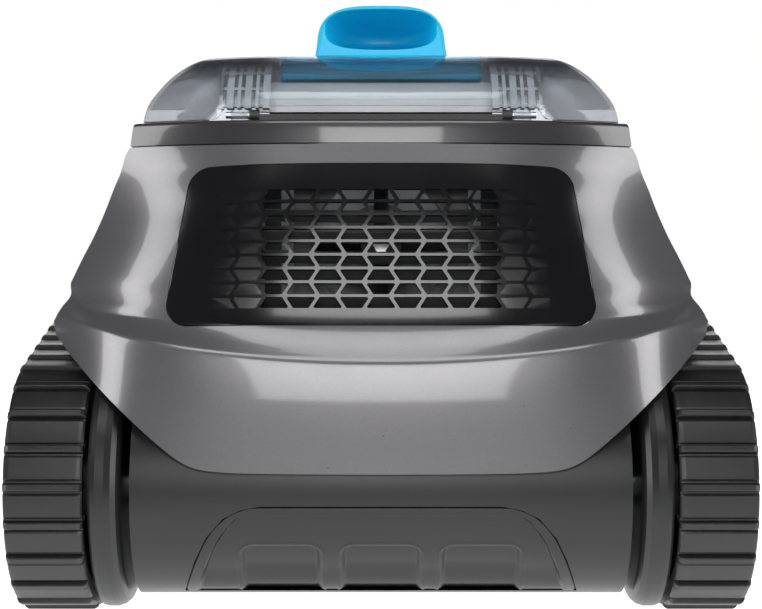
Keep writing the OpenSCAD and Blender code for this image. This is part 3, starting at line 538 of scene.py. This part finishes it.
def frontHem(s):
    rise = np.clip((np.abs(s) * shell["side"] - shell["hullSide"]) / shell["noseRamp"] + 0.5, 0, 1)
    return shell["noseHem"] + (shell["frontCornerHem"] - shell["noseHem"]) * rise


def levelsBetween(v, hem, first, second):
    a, b = shell["firstCrease"], shell["secondCrease"]
    return np.where(v < a, hem + (first - hem) * v / a,
                    np.where(v < b, first + (second - first) * (v - a) / (b - a),
                             second + (shellTop - second) * (v - b) / (1 - b)))


def rearColumn(s, v):
    s, v = np.broadcast_arrays(s, v)
    reach = np.abs(s)
    z = levelsBetween(v, rearHem(s), ledge["low"] + ledge["lowRise"] * reach ** 2.2,
                      ledge["high"] + ledge["highRise"] * reach ** 2 + ledge["cornerRise"] * reach ** 12)
    q = share(z, shell["hem"])
    crisp = step(reach, ledge["crispFrom"], ledge["crispTo"])
    out = softOut(v) * (1 - crisp) + crispOut(v) * crisp
    y = -halfLength + out + sweepAt(q) * reach ** (8 - 5 * q)
    x = s * (shell["side"] - sideInset(share(z, shell["cornerHem"])))
    return np.stack([x, y, z], -1)


def frontColumn(s, v):
    s, v = np.broadcast_arrays(s, v)
    hem = frontHem(s)
    rise = shellTop - hem
    z = levelsBetween(v, hem, hem + nose["firstShare"] * rise, hem + nose["secondShare"] * rise)
    q = share(z, shell["noseHem"])
    lip = nose["lip"] * step(v, shell["firstCrease"], shell["secondCrease"])
    lip = lip * (1 - step(v, shell["secondCrease"], nose["lipEnd"]))
    sweep = nose["sweepLow"] + (nose["sweepTop"] - nose["sweepLow"]) * q
    y = halfLength - frontOut(q) - sweep * np.abs(s) ** 3 - lip
    x = s * (shell["side"] - sideInset(share(z, shell["frontCornerHem"])))
    return np.stack([x, y, z], -1)


def spaced(*spans):  # (from, to, count) runs joined without repeats
    return np.concatenate([np.linspace(a, b, n, endpoint=False) for a, b, n in spans])


rearSteps = spaced((-1, -0.9, 14), (-0.9, -0.5, 30), (-0.5, 0.5, 44), (0.5, 0.9, 30), (0.9, 1, 14))
sideSteps = np.linspace(0, 1, 40, endpoint=False)
frontSteps = spaced((1, 0.76, 12), (0.76, 0.70, 10), (0.70, -0.70, 60), (-0.70, -0.76, 10),
                    (-0.76, -1, 12))


def shellRing(v):
    rear, front = rearColumn(rearSteps, v), frontColumn(frontSteps, v)
    corners = [rearColumn(1.0, v), frontColumn(1.0, v), frontColumn(-1.0, v), rearColumn(-1.0, v)]
    t = sideSteps[:, None]
    right = corners[0] + t * (corners[1] - corners[0])
    left = corners[2] + t * (corners[3] - corners[2])
    return np.concatenate([rear, right, front, left])


def drawnIn(ring, distance):
    normal = ring[:, :2] / np.array([shell["side"] ** 2, halfLength ** 2])
    normal /= np.linalg.norm(normal, axis=1, keepdims=True)
    moved = ring.copy()
    moved[:, :2] -= distance * normal
    return moved


def atHeight(ring, z):
    moved = ring.copy()
    moved[:, 2] = z
    return moved


shellLevels = spaced((0, 0.02, 2), (0.02, 0.26, 12), (0.26, 0.34, 10), (0.34, 0.40, 5),
                     (0.40, 0.46, 8), (0.46, 0.97, 22))
shellLevels = np.append(shellLevels, [0.97, 0.985, 1.0])
outerRings = [shellRing(v) for v in shellLevels]
innerRings = [drawnIn(ring, shell["thickness"]) for ring in outerRings]
shellPiece = wall("shell_moulding", outerRings, innerRings, finishes["shell_grey"], slot="shell_grey",
                  stands=["upper_shell"], angle=30)
print("shell skinned:", len(shellPiece.data.vertices), "points")
# The outlet grille is drawn flat, with y up from its top edge, and turned to lie on the shell
grille = dict(width=246.0, topShare=0.92, height=98.0, corner=14.0, tilt=16.0, drop=11.0, inset=5.0,
              cellWidth=15.2, cellHeight=8.1, bar=1.6, lean=1.52, nip=0.9, tuck=0.25, rowShift=3.0,
              openColumns=4, blindColumns=2, blindDepth=0.5, rows=4, seam=0.5, sunk=0.5)
knifeFar, knifeNear = 40.0, 8.0  # how far the cutting solids reach
rimY = rearColumn(0.0, 1.0)[1]
grilleMiddle = -grille["height"] / 2 - grille["rowShift"]
grilleTurn = Matrix.Translation((0, (rimY - grille["inset"]) * mm, (shellTop - grille["drop"]) * mm))
grilleTurn = grilleTurn @ Matrix.Rotation(math.radians(90 - grille["tilt"]), 4, "X")


def grilleOutline(shrink, count=14):
    corner, radius = grille["corner"], grille["corner"] - shrink
    top, low = grille["width"] * grille["topShare"] / 2 - corner, grille["width"] / 2 - corner
    centres = [(top, -corner, 0), (-top, -corner, 90), (-low, corner - grille["height"], 180),
               (low, corner - grille["height"], 270)]
    return [(x + radius * math.cos(math.radians(start + 90 * k / count)),
             y + radius * math.sin(math.radians(start + 90 * k / count)))
            for x, y, start in centres for k in range(count + 1)]


def prism(outline, z0, z1):
    count = len(outline)
    points = [(x, y, z) for z in (z0, z1) for x, y in outline]
    faces = [tuple(range(count))[::-1], tuple(range(count, 2 * count))]
    faces += [(c, (c + 1) % count, count + (c + 1) % count, count + c) for c in range(count)]
    return points, faces


def joined(solids):
    points, faces = [], []
    for somePoints, someFaces in solids:
        start = len(points)
        points += list(somePoints)
        faces += [tuple(start + i for i in face) for face in someFaces]
    return points, faces


def placed(solid, turn):
    solid.data.transform(turn)
    return solid


panel = shellPiece.copy()
panel.data = shellPiece.data.copy()
panel.name = "outlet_grille"
bpy.context.collection.objects.link(panel)
del panel["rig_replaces"]
skin = BVHTree.FromPolygons([v.co for v in shellPiece.data.vertices],
                            [p.vertices for p in shellPiece.data.polygons])


def skinHeight(x, y):  # height of the skin over the grille's own plane
    above = 60 * mm
    start, way = grilleTurn @ Vector((x * mm, y * mm, above)), grilleTurn.to_3x3() @ Vector((0, 0, -1))
    return (grilleTurn.inverted() @ skin.ray_cast(start, way)[0]).z / mm


def grilleKnife(name, solid):
    return placed(looseMesh(name, *solid), grilleTurn)


cut(shellPiece, grilleKnife("opening", prism(grilleOutline(0), -knifeFar, knifeFar)))
cleanUp(shellPiece, 30)
print("grille opening cut")


def cellOutline(x, y, up):  # a six-sided cell with clipped corners, wide at its foot when up
    wide = (grille["cellWidth"] - grille["bar"]) / 2 + grille["lean"]
    narrow = wide - 2 * grille["lean"]
    low, high = (wide, narrow) if up else (narrow, wide)
    h = (grille["cellHeight"] - grille["bar"]) / 2
    nip, tuck = grille["nip"], grille["tuck"]
    right = [(low - nip, -h), (low - tuck, nip - h), (high - tuck, h - nip), (high - nip, h)]
    left = [(-dx, dy) for dx, dy in right[::-1]]
    return [(x + dx, y + dy) for dx, dy in left[-1:] + right + left[:-1]]


def grilleCells(columns, z0, z1):
    solids = []
    for i in columns:
        for j in range(-grille["rows"], grille["rows"] + 1):
            x, y = i * grille["cellWidth"], grilleMiddle + j * grille["cellHeight"]
            base = skinHeight(x, y)
            solids.append(prism(cellOutline(x, y, (i + j) % 2 == 0), base + z0, base + z1))
    return joined(solids)


openReach = grille["openColumns"]
fullReach = openReach + grille["blindColumns"]
openColumns = range(-openReach, openReach + 1)
blindColumns = [i for i in range(-fullReach, fullReach + 1) if abs(i) > openReach]
panelKnife = grilleKnife("outline", prism(grilleOutline(grille["seam"]), -knifeFar, knifeFar))
cut(panel, panelKnife, "INTERSECT")
cut(panel, grilleKnife("cells", grilleCells(openColumns, -knifeNear, knifeNear)))
cut(panel, grilleKnife("blind", grilleCells(blindColumns, -grille["blindDepth"], knifeNear)))
panel.data.transform(Matrix.Translation((0, grille["sunk"] * mm, 0)))
cleanUp(panel, 30)
dress(panel, finishes["gloss_black"])
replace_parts(panel, "grille_panel")

slats = dict(half=76.0, rows=(-3.55, -1.45, -0.2, 1.3, 2.9), front=5.5, depth=9.0, drop=4.0, thick=0.9,
             stations=21, lift=1.6, lean=0.6, cheekHalf=1.5, cheekLow=14.0, cheekTop=20.0,
             cheekFar=22.0, cheekNear=4.0, cheekMiddle=-50.0)
slatSection = ((0, 0), (slats["thick"], -slats["lean"]),
               (slats["thick"] - slats["drop"], -slats["depth"]), (-slats["drop"], -slats["depth"]))
slatSolids = []
for row in slats["rows"]:
    y = grilleMiddle + row * grille["cellHeight"]
    points = []
    for x in np.linspace(-slats["half"], slats["half"], slats["stations"]):
        top = skinHeight(x, y) - slats["front"]
        lift = slats["lift"] * (x / slats["half"]) ** 2
        points += [(x, y + lift + dy, top + dz) for dy, dz in slatSection]
    last = 4 * (slats["stations"] - 1)
    caps = [(0, 1, 2, 3), (last + 3, last + 2, last + 1, last)]
    slatSolids.append((points, gridFaces(slats["stations"], 4) + caps))
for side in (-1, 1):  # the cheeks that hold the slats
    x, y0, y1 = side * (slats["half"] + 1), slats["cheekLow"] - grille["height"], -slats["cheekTop"]
    a, b = x - slats["cheekHalf"], x + slats["cheekHalf"]
    height = skinHeight(x, slats["cheekMiddle"])
    slatSolids.append(prism([(a, y0), (b, y0), (b, y1), (a, y1)], height - slats["cheekFar"],
                            height - slats["cheekNear"]))
points, faces = joined(slatSolids)
outletSlats = makePiece("outlet_slats", points, faces, shadedVaneFinish, stands=["outlet_louvres"], angle=40)
outletSlats.data.transform(grilleTurn)
print("grille made:", len(panel.data.vertices), "points")
# The collar between shell and lid, as (height over the shell, inset from its rim)
collar = dict(inner=16.0, profile=[(0, 2.4), (0.5, 2.4), (0.9, 0.4), (1.4, 0.4), (4, 0.7), (8, 1.3),
                                   (12, 2.0), (13.6, 2.6), (14.5, 3.4), (14.9, 4.6), (15, 6.5)])
relief = dict(half=100.0, deep=40.0, lip=4.2, below=5.0, above=9.0)  # room for the lid to tip
topRing = shellRing(1.0)
collarOuter = [atHeight(drawnIn(topRing, inset), shellTop + z) for z, inset in collar["profile"]]
collarInner = [atHeight(drawnIn(topRing, collar["inner"]), shellTop + z) for z, _ in collar["profile"]]
# the collar band is dressed in the shell grey with painted shade
collarPiece = wall("collar_band", collarOuter, collarInner, shadedCollarFinish, slot="shell_grey",
                   stands=["lid_collar"], angle=50)
reliefEdge = [(x, y) for x, y, _ in drawnIn(topRing, relief["lip"]) if y < 0 and abs(x) < relief["half"]]
reliefEdge += [(side * relief["half"], rimY + relief["deep"]) for side in (1, -1)]
reliefSolid = prism(reliefEdge, collarTop - relief["below"], collarTop + relief["above"])
cut(collarPiece, looseMesh("relief", *reliefSolid))
cleanUp(collarPiece, 50)

lid = dict(height=lidTop - collarTop, wall=3.0, rimGap=3.0, archHalf=95.0, archBlend=3.0, archLift=8.5,
           archFrom=28.0, archTo=46.0, edgeGap=1.2, seat=0.35, seatPower=14)
lidInset = smoothCurve([(0, 6), (.12, 7.4), (.25, 10), (.45, 17), (.65, 26), (.8, 35.5), (.9, 44),
                        (.97, 54), (1, 62)])
baseLow, baseHigh = boxOf("handle_base")
baseMiddle, baseHalf = (baseLow + baseHigh) / 2, (baseHigh - baseLow) / 2


def lidRing(k, inset):  # k runs up the lid from 0 to 1, and its foot is arched over the hinge
    ring = drawnIn(topRing, lid["rimGap"] + lidInset(k) + inset)
    rear = step(-ring[:, 1], -(rimY + lid["archTo"]), -(rimY + lid["archFrom"]))
    half, blend = lid["archHalf"], lid["archBlend"]
    arch = rear * (1 - step(np.abs(ring[:, 0]), half - blend, half + blend))
    foot = collarTop + lid["edgeGap"] + (lid["archLift"] - lid["edgeGap"]) * arch
    ring[:, 2] = foot + (lidTop - foot) * k
    return ring


def ontoBase(ring):  # the ring drawn in to the outline of the handle base
    away = ring[:, :2] - baseMiddle[:2]
    part = np.abs(away) / (baseHalf[:2] + lid["seat"])
    scale = (part ** lid["seatPower"]).sum(1, keepdims=True) ** (1 / lid["seatPower"])
    return np.column_stack([baseMiddle[:2] + away / scale, ring[:, 2]])


lidLevels = np.concatenate([[0, 0.01], np.linspace(0.04, 0.9, 20), [0.93, 0.96, 0.98, 1.0]])
lidOuter = [lidRing(k, 0) for k in lidLevels]
lidInner = [lidRing(k, lid["wall"]) for k in lidLevels]
outerEnd, innerEnd, seat = lidOuter[-1], lidInner[-1], ontoBase(lidOuter[-1])
for part in (0.25, 0.5, 0.75, 1.0):  # the flat top, up to the handle base
    lidOuter.append(outerEnd * (1 - part) + seat * part)
    lidInner.append(innerEnd * (1 - part) + seat * part)
lidInner = [atHeight(ring, np.minimum(ring[:, 2], lidTop - lid["wall"])) for ring in lidInner]
wall("clear_lid", lidOuter, lidInner, finishes["lid_clear"], slot="lid_clear", body="lid",
     stands=["lid_shell", "lid_window"], angle=35)

# Clear ribbed posts inside the rear of the lid
post = dict(x=82.0, half=13.5, ribs=6, low=0.12, high=0.84, stagger=0.02, deep=9.0, taper=3.0, levels=7,
            thin=1.0, thick=2.0, foot=3.0, back=6.8, bow=0.0006, shelves=(0.14, 0.4, 0.66, 0.82),
            shelfBack=8.2, shelfDeep=7.0, shelfThick=1.6, shelfSlope=0.6)


def postPlace(h, back, x):  # y and z behind the lid's inner face at height h
    return (rimY + back + lidInset(h) + post["bow"] * x * x,
            collarTop + post["foot"] + (lid["height"] - post["foot"]) * h)


for side, name in ((-1, "left"), (1, "right")):
    solids = []
    for k in range(post["ribs"]):
        x = side * (post["x"] + post["half"] * (2 * k / (post["ribs"] - 1) - 1))
        ribHalf = post["thin"] if k % 2 else post["thick"]
        heights = np.linspace(post["low"], post["high"] - post["stagger"] * (k % 3), post["levels"])
        back = [postPlace(h, post["back"], x) for h in heights]
        section = back + [(y + post["deep"] + post["taper"] * (1 - h), z)
                          for h, (y, z) in zip(heights[::-1], back[::-1])]
        points = [(x + s * ribHalf, y, z) for s in (-1, 1) for y, z in section]
        n = len(section)
        faces = [(c, c + 1, n - 2 - c, n - 1 - c) for c in range(len(heights) - 1)]
        faces += [tuple(n + i for i in face[::-1]) for face in faces]
        faces += [(c, (c + 1) % n, n + (c + 1) % n, n + c) for c in range(n)]
        solids.append((points, faces))
    ends = sorted((side * (post["x"] - post["half"]), side * (post["x"] + post["half"])))
    for h in post["shelves"]:
        y, low = postPlace(h, post["shelfBack"], post["x"])
        front, top = y + post["shelfDeep"], low + post["shelfThick"]
        section = ((y, low), (front, low), (front, top), (y + post["shelfSlope"], top))
        solids.append(([(x, *place) for x in ends for place in section],
                       [(0, 1, 2, 3), (7, 6, 5, 4), (0, 4, 5, 1), (1, 5, 6, 2), (2, 6, 7, 3), (3, 7, 4, 0)]))
    points, faces = joined(solids)
    makePiece(f"{name}_lid_post", points, faces, ribHighlightFinish, body="lid", slot="lid_clear")
print("lid made")
# The scoop handle: its bowl from the inside out, then its hood from the mouth back
handle = dict(half=40.0, rise=29.5, power=3.2, floor=lidTop + 4, mouthHalf=34.7, mouthRise=12.65,
              mouthZ=lidTop + 18.5, mouthPower=3.0, bowlDrop=6.0, foot=1.0, flare=1.6, flareFrom=15.0,
              flareTop=8.0, flareHeight=11.0, points=96)
scoop = [(38, 0.12, 0.45), (37.6, 0.3, 0.42), (36, 0.5, 0.36), (32, 0.68, 0.28), (25, 0.82, 0.18),
         (16, 0.915, 0.09), (8, 0.965, 0.03), (2.6, 0.99, 0), (0.9, 1, 0), (0.2, 1.015, 0)]
hood = [(0.1, 1, 1, 1.3), (0, 1, 1, 0.9), (0.4, 1, 1, 0.3), (1.2, 1, 1, 0), (6, 1, 0.985, 0),
        (14, 0.99, 0.93, 0), (24, 0.97, 0.82, 0), (34, 0.93, 0.67, 0), (43, 0.87, 0.5, 0),
        (50, 0.78, 0.33, 0), (54.5, 0.66, 0.2, 0), (56.5, 0.5, 0.13, 0)]
handleY = boxOf("handle")[0][1]


def scoopRing(depth, size, drop):
    return superRing(handle["mouthHalf"] * size, handle["mouthRise"] * size * (1 - drop),
                     handle["mouthPower"], handle["points"], handleY + depth,
                     handle["mouthZ"] - handle["bowlDrop"] * drop)


def hoodRing(depth, width, height, inset):
    ring = superRing(handle["half"] * width - inset, handle["rise"] * height - inset, handle["power"],
                     handle["points"], handleY + depth, handle["floor"])
    below = ring[:, 2] < handle["floor"]
    ring[below, 2] = np.maximum(ring[below, 2], lidTop + handle["foot"] + inset)
    flare = np.clip((handle["floor"] + handle["flareTop"] - ring[:, 2]) / handle["flareHeight"], 0, 1)
    outer = np.abs(ring[:, 0]) > handle["flareFrom"]
    ring[:, 0] += np.sign(ring[:, 0]) * flare ** 2 * handle["flare"] * outer
    return ring


loft("lifting_handle", [scoopRing(*row) for row in scoop] + [hoodRing(*row) for row in hood],
     finishes["handle_blue"], slot="handle_blue", body="lid", stands=["handle"], angle=50)

# The layered plate under the handle: (height, inset) from its underside, then from the lid's top
plate = dict(corner=9.0, points=128,
             lower=[(0, 1.6), (0.6, 0.8), (1.4, 0), (4.6, 0), (4.9, 1.2), (5.8, 1.2), (6.1, 0.3),
                    (8.4, 0.3), (8.7, 1.4), (9.6, 1.4), (9.9, 0)],
             upper=[(-0.6, 0), (0.5, 0.5), (1.3, 1.6), (1.9, 3.6), (2.3, 7), (2.4, 14)])
layers = [(baseLow[2] + z, inset) for z, inset in plate["lower"]]
layers += [(lidTop + z, inset) for z, inset in plate["upper"]]
layerRings = [flatRing(baseHalf[0] - inset, baseHalf[1] - inset, plate["corner"], plate["points"],
                       baseMiddle[:2], z) for z, inset in layers]
loft("handle_plate", layerRings, finishes["handle_blue"], slot="handle_blue", body="lid",
     stands=["handle_base"], angle=35)
print("handle made")
# The rear cover of the hull lies on its cylinder, with a sunk field and three pockets in it
rear = dict(gap=0.3, topGap=18.0, lowGap=4.0, backGap=2.0, thickness=9.0, across=261, sideSlope=0.83,
            ledge=4.5, ledgeFrom=5.6, ledgeTo=7.6, lowLedge=0.15, fadeFrom=46.0, fadeTo=68.0,
            groove=1.3, grooveWidth=1.2, pocketPitch=56.9, pocketHalf=23.6, pocketCorner=9.0,
            pocketTop=29.8, pocketDepth=3.6, lowPocket=0.6, pocketSlope=4.4, ridge=0.5)
panelTop = shell["hem"] - rear["topGap"]
panelLow = rearRadius - hullRadius + rear["lowGap"]
edgeCurve = smoothCurve([(0, 113.9), (.4, 105.4), (.66, 98.4), (.87, 88.6), (.96, 78.7), (1, 67.5)])
startAngle = math.degrees(math.asin((rearRadius - panelTop + rear["gap"]) / hullRadius))
angles = np.radians(np.append(spaced((startAngle, 16, 26), (16, 27, 8), (27, 40, 26)),
                              np.linspace(40, 80, 30)))
angleGrid, acrossGrid = np.meshgrid(angles, np.linspace(-1, 1, rear["across"]), indexing="ij")
zGrid = rearRadius - hullRadius * np.sin(angleGrid)
edgeGrid = edgeCurve((zGrid - panelLow) / (panelTop - panelLow)) - rear["gap"]
xGrid = acrossGrid * edgeGrid
arc = hullRadius * (angleGrid - angles[0])
inward = np.minimum(arc, (edgeGrid - np.abs(xGrid)) * rear["sideSlope"])
fade = 1 - step(np.degrees(angleGrid), rear["fadeFrom"], rear["fadeTo"])  # runs out at the foot
sink = rear["ledge"] * step(inward, rear["ledgeFrom"], rear["ledgeTo"])
sink = sink * (rear["lowLedge"] + (1 - rear["lowLedge"]) * fade)
sink = sink + rear["groove"] * (1 - step(inward, 0, rear["grooveWidth"]))
pocket = rear["pocketDepth"] * (rear["lowPocket"] + (1 - rear["lowPocket"]) * fade)
for i in (-1, 0, 1):
    corner = rear["pocketCorner"]
    dx = np.abs(xGrid - i * rear["pocketPitch"]) - (rear["pocketHalf"] - corner)
    dy = hullRadius * np.radians(rear["pocketTop"]) + corner - hullRadius * angleGrid
    inside = corner - np.hypot(np.maximum(dx, 0), np.maximum(dy, 0)) - np.minimum(np.maximum(dx, dy), 0)
    sink = sink + pocket * step(inside, 0, rear["pocketSlope"])
    sink = sink - rear["ridge"] * (step(inside, -2.2, -0.8) - step(inside, -0.8, 0.6))


def onHull(radius, clearance):  # points at this radius, kept above the cover's lower edge
    z = np.maximum(rearRadius - radius * np.sin(angleGrid), panelLow + clearance)
    return np.stack([xGrid, rearAxle[1] - radius * np.cos(angleGrid), z], -1).reshape(-1, 3)


rows, columns = xGrid.shape
size = rows * columns
rim = list(range(columns)) + [r * columns + columns - 1 for r in range(1, rows)]
rim += [(rows - 1) * columns + c for c in range(columns - 2, -1, -1)]
rim += [r * columns for r in range(rows - 2, 0, -1)]
faces = gridFaces(rows, columns, 0, False) + gridFaces(rows, columns, size, False, True)
faces += [(b, a, a + size, b + size) for a, b in zip(rim, rim[1:] + rim[:1])]
points = np.concatenate([onHull(hullRadius - sink, rear["gap"]),
                         onHull(hullRadius - rear["thickness"], rear["backGap"])])
makePiece("rear_hull_cover", points, faces, finishes["hull_black"], slot="hull_black",
          stands=["rear_hull_panel"], angle=45)
print("rear hull cover made")
# The tracks: cleats and pads swept along the belt's path round both wheels
track = dict(links=51, cleatBase=5.0, cleatTop=3.4, cleatHeight=3.0, pad=1.0, padStart=3.7,
             padMiddle=10.6, padEnd=17.5, bevel=1.1, belt=5.0, chamfer=2.8)
beltRear, beltFront = rearRadius - track["cleatHeight"], frontRadius - track["cleatHeight"]
wheelbase = frontAxle[1] - rearAxle[1]
topAngle = math.radians(90) + 2 * math.atan((frontRadius - rearRadius) / wheelbase)
frontArc, rearArc = beltFront * (topAngle + math.pi / 2), beltRear * (1.5 * math.pi - topAngle)
beltLength = 2 * wheelbase + frontArc + rearArc


def beltPoint(s, h):  # a point on the belt's path, raised by h
    s = s % beltLength
    if s < wheelbase:
        return rearAxle[1] + s, track["cleatHeight"] - h
    if s < wheelbase + frontArc:
        a = -math.pi / 2 + (s - wheelbase) / beltFront
        return frontAxle[1] + (beltFront + h) * math.cos(a), frontRadius + (beltFront + h) * math.sin(a)
    if s < 2 * wheelbase + frontArc:
        along = s - wheelbase - frontArc
        return (frontAxle[1] + (beltFront + h) * math.cos(topAngle) - along * math.sin(topAngle),
                frontRadius + (beltFront + h) * math.sin(topAngle) + along * math.cos(topAngle))
    a = topAngle + (s - 2 * wheelbase - frontArc) / beltRear
    return rearAxle[1] + (beltRear + h) * math.cos(a), rearRadius + (beltRear + h) * math.sin(a)


def linkProfile():  # (distance from the cleat's middle, height at the middle, height at the ends)
    base, top, high = track["cleatBase"] / 2, track["cleatTop"] / 2, track["cleatHeight"]
    pad, start, end, bevel = track["pad"], track["padStart"], track["padEnd"], track["bevel"]
    return [(-base, -0.6, -0.6), (-top - 0.15, high - 0.5, high - 1.6), (-top + 0.35, high, high - 1.3),
            (0, high, high - 1.2), (top - 0.35, high, high - 1.3), (top + 0.15, high - 0.5, high - 1.6),
            (base, -0.6, -0.6), (start - 0.15, -0.7, -0.7), (start, pad - 0.75, pad - 0.8),
            (start + bevel, pad, pad - 0.35), (track["padMiddle"], pad, pad - 0.35),
            (end - bevel, pad, pad - 0.35), (end, pad - 0.75, pad - 0.8), (end + 0.15, -0.7, -0.7)]


def buildTrack(name, node, low, high):
    edges = [(0, 0.0, -1.2), (0.9, 0.35, -0.2), (track["chamfer"], 1, 0), (track["chamfer"] + 0.6, 1, 0)]
    stations = [(low + d, weight, drop) for d, weight, drop in edges] + [((low + high) / 2, 1, 0)]
    stations += [(high - d, weight, drop) for d, weight, drop in edges[::-1]]
    pitch = beltLength / track["links"]
    rows = []
    for link in range(track["links"]):
        for offset, full, end in linkProfile():
            s = (link + 0.5) * pitch + offset
            row = []
            for x, weight, drop in stations:
                h = end + (full - end) * weight + (drop if full > 0 else min(drop, 0) * 0.5)
                row.append((x, *beltPoint(s, h)))
            rows.append(row + [(x, *beltPoint(s, -track["belt"])) for x, _, _ in stations[::-1]])
    return makePiece(name, np.reshape(rows, (-1, 3)), wrapFaces(len(rows), 2 * len(stations)),
                     finishes["track_rubber"], slot="track_rubber", stands=[node], angle=24)


buildTrack("left_rubber_track", "left_track", -halfWidth, -trackInside)
buildTrack("right_rubber_track", "right_track", trackInside, halfWidth)
print("tracks made")
# Pieces carried over from the frame: their finish, and how far their edges are softened
kept = {
    "hull_black": "hull_tub front_bumper bottom_plate left_rear_flange right_rear_flange",
    "dark_plastic": "inlet_throat hinge_bridge grille_screws canister_frame canister_floor "
                    "drive_housing drive_housing_cover left_track_frame right_track_frame "
                    "left_track_cover right_track_cover left_rear_wheel right_rear_wheel "
                    "left_front_wheel right_front_wheel left_guide_roller right_guide_roller "
                    "brush_core impeller charging_port",
    "steel": "hinge_pins pump_motor drive_motors axle_pins cover_screws base_screws wheel_clips "
             "impeller_nut",
    "seal_rubber": "collar_seal drive_seal inlet_flap",
    "light_grey": "canister_cover",
    "mesh_nylon": "canister_mesh",
    "handle_blue": "charging_cap",
    "brush_pvc": "brush_blades",
    "gear_white": "left_front_gear brush_pinion brush_bushes",
    "board_green": "control_board",
    "battery_wrap": "battery_pack",
    "float_foam": "float_block",
    "lid_clear": "lid_hinge_arms"}
softEdges = {
    "front_bumper": 1.2, "canister_cover": 0.8, "bottom_plate": 0.5, "left_track_frame": 0.6,
    "right_track_frame": 0.6, "left_track_cover": 0.4, "right_track_cover": 0.4,
    "canister_frame": 0.6, "drive_housing_cover": 0.8, "hinge_bridge": 0.6, "charging_cap": 0.7,
    "float_block": 2.0, "battery_pack": 2.0, "lid_hinge_arms": 0.5, "hull_tub": 0.5}


def soften(piece, width):
    edge = piece.modifiers.new("edges", "BEVEL")
    edge.width, edge.segments, edge.limit_method = width * mm, 2, "ANGLE"
    edge.angle_limit = math.radians(40)


for slot, names in kept.items():
    for name in names.split():
        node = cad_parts[name]
        for holder in node.material_slots:
            holder.material = finishes[slot]
        if name in softEdges:
            soften(node, softEdges[name])
dress(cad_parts["outlet_duct"], shadedVaneFinish)  # dark, a painted shade for the duct where it shows behind the grille
print("carried-over pieces dressed")

# The studio: a pale floor that glows near the object, softboxes round it and a white surround
studio = dict(key=20.0, fill=16.0, top=10.0, front=16.5, floorHalf=6000.0, floorGlow=1.15,
              glowFrom=0.25, glowTo=0.75, farGlow=0.02, room=0.07)
half = studio["floorHalf"]
corners = [(-half, -half, 0), (half, -half, 0), (half, half, 0), (-half, half, 0)]
floor = newObject("studio_floor", corners, [(0, 1, 2, 3)])
f = Finish("pale_floor")
pale = f.body(colour=f.blend(f.noise(3, 3), (0.86, 0.86, 0.86), (0.92, 0.92, 0.92)),
              rough=0.6 + f.noise(40) * 0.1)
direct = f.node("LightPath", output="Is Camera Ray")
distance = f.node("VectorMath", {"operation": "LENGTH"}, {0: f.place}, "Value")
near = f.between(distance, studio["glowFrom"], studio["glowTo"], 1, studio["farGlow"])
glow = f.node("Emission", None, {"Color": (1, 1, 1), "Strength": studio["floorGlow"]})
lit = f.node("AddShader", None, {0: pale, 1: glow})
floor.data.materials.append(f.done(f.mix((direct + near).clipped(), pale, lit)))


def softbox(name, place, aim, width, height, power):
    lamp = bpy.data.lights.new(name, "AREA")
    lamp.shape, lamp.size, lamp.size_y, lamp.energy = "RECTANGLE", width, height, power
    stand = bpy.data.objects.new(name, lamp)
    stand.location = place
    stand.rotation_euler = (Vector(aim) - Vector(place)).to_track_quat("-Z", "Y").to_euler()
    bpy.context.collection.objects.link(stand)


softbox("left_softbox", (-1.67, -0.84, 0.75), (0, -0.05, 0.18), 0.75, 1.5, studio["key"])
softbox("right_softbox", (1.67, -0.84, 0.75), (0, -0.05, 0.18), 0.75, 1.5, studio["key"])
softbox("top_softbox", (0, -1.05, 1.85), (0, -0.2, 0.15), 1.0, 0.7, studio["top"])
softbox("rear_softbox", (0, 2.0, 1.2), (0, 0, 0.2), 1.8, 1.0, studio["fill"])
softbox("front_softbox", (0, -2.4, 0.86), (0, 0, 0.2), 0.5, 1.3, studio["front"])

world = bpy.data.worlds.new("studio")
bpy.context.scene.world = world
world.use_nodes = True
sky = Nodes(world.node_tree)
white = sky.node("Background", None, {"Color": (1, 1, 1), "Strength": 1.0})
room = sky.node("Background", None, {"Color": (0.95, 0.97, 1), "Strength": studio["room"]})
seen = sky.node("LightPath", output="Is Camera Ray")
seen = seen.larger(sky.node("LightPath", output="Is Transmission Ray"))
sky.node("OutputWorld", None, {"Surface": sky.mix(seen, room, white)})

lens = dict(focal=80.5, sensor=36.0, place=(0, -1.1623, 0.1829), shift=-0.0059055)
camera = bpy.data.objects.new("camera", bpy.data.cameras.new("camera"))
camera.data.lens, camera.data.sensor_width = lens["focal"], lens["sensor"]
camera.data.shift_y = lens["shift"]
camera.location, camera.rotation_euler = lens["place"], (math.radians(90), 0, 0)
bpy.context.collection.objects.link(camera)
bpy.context.scene.camera = camera
bpy.context.scene.view_settings.view_transform = "Standard"
print("studio ready")
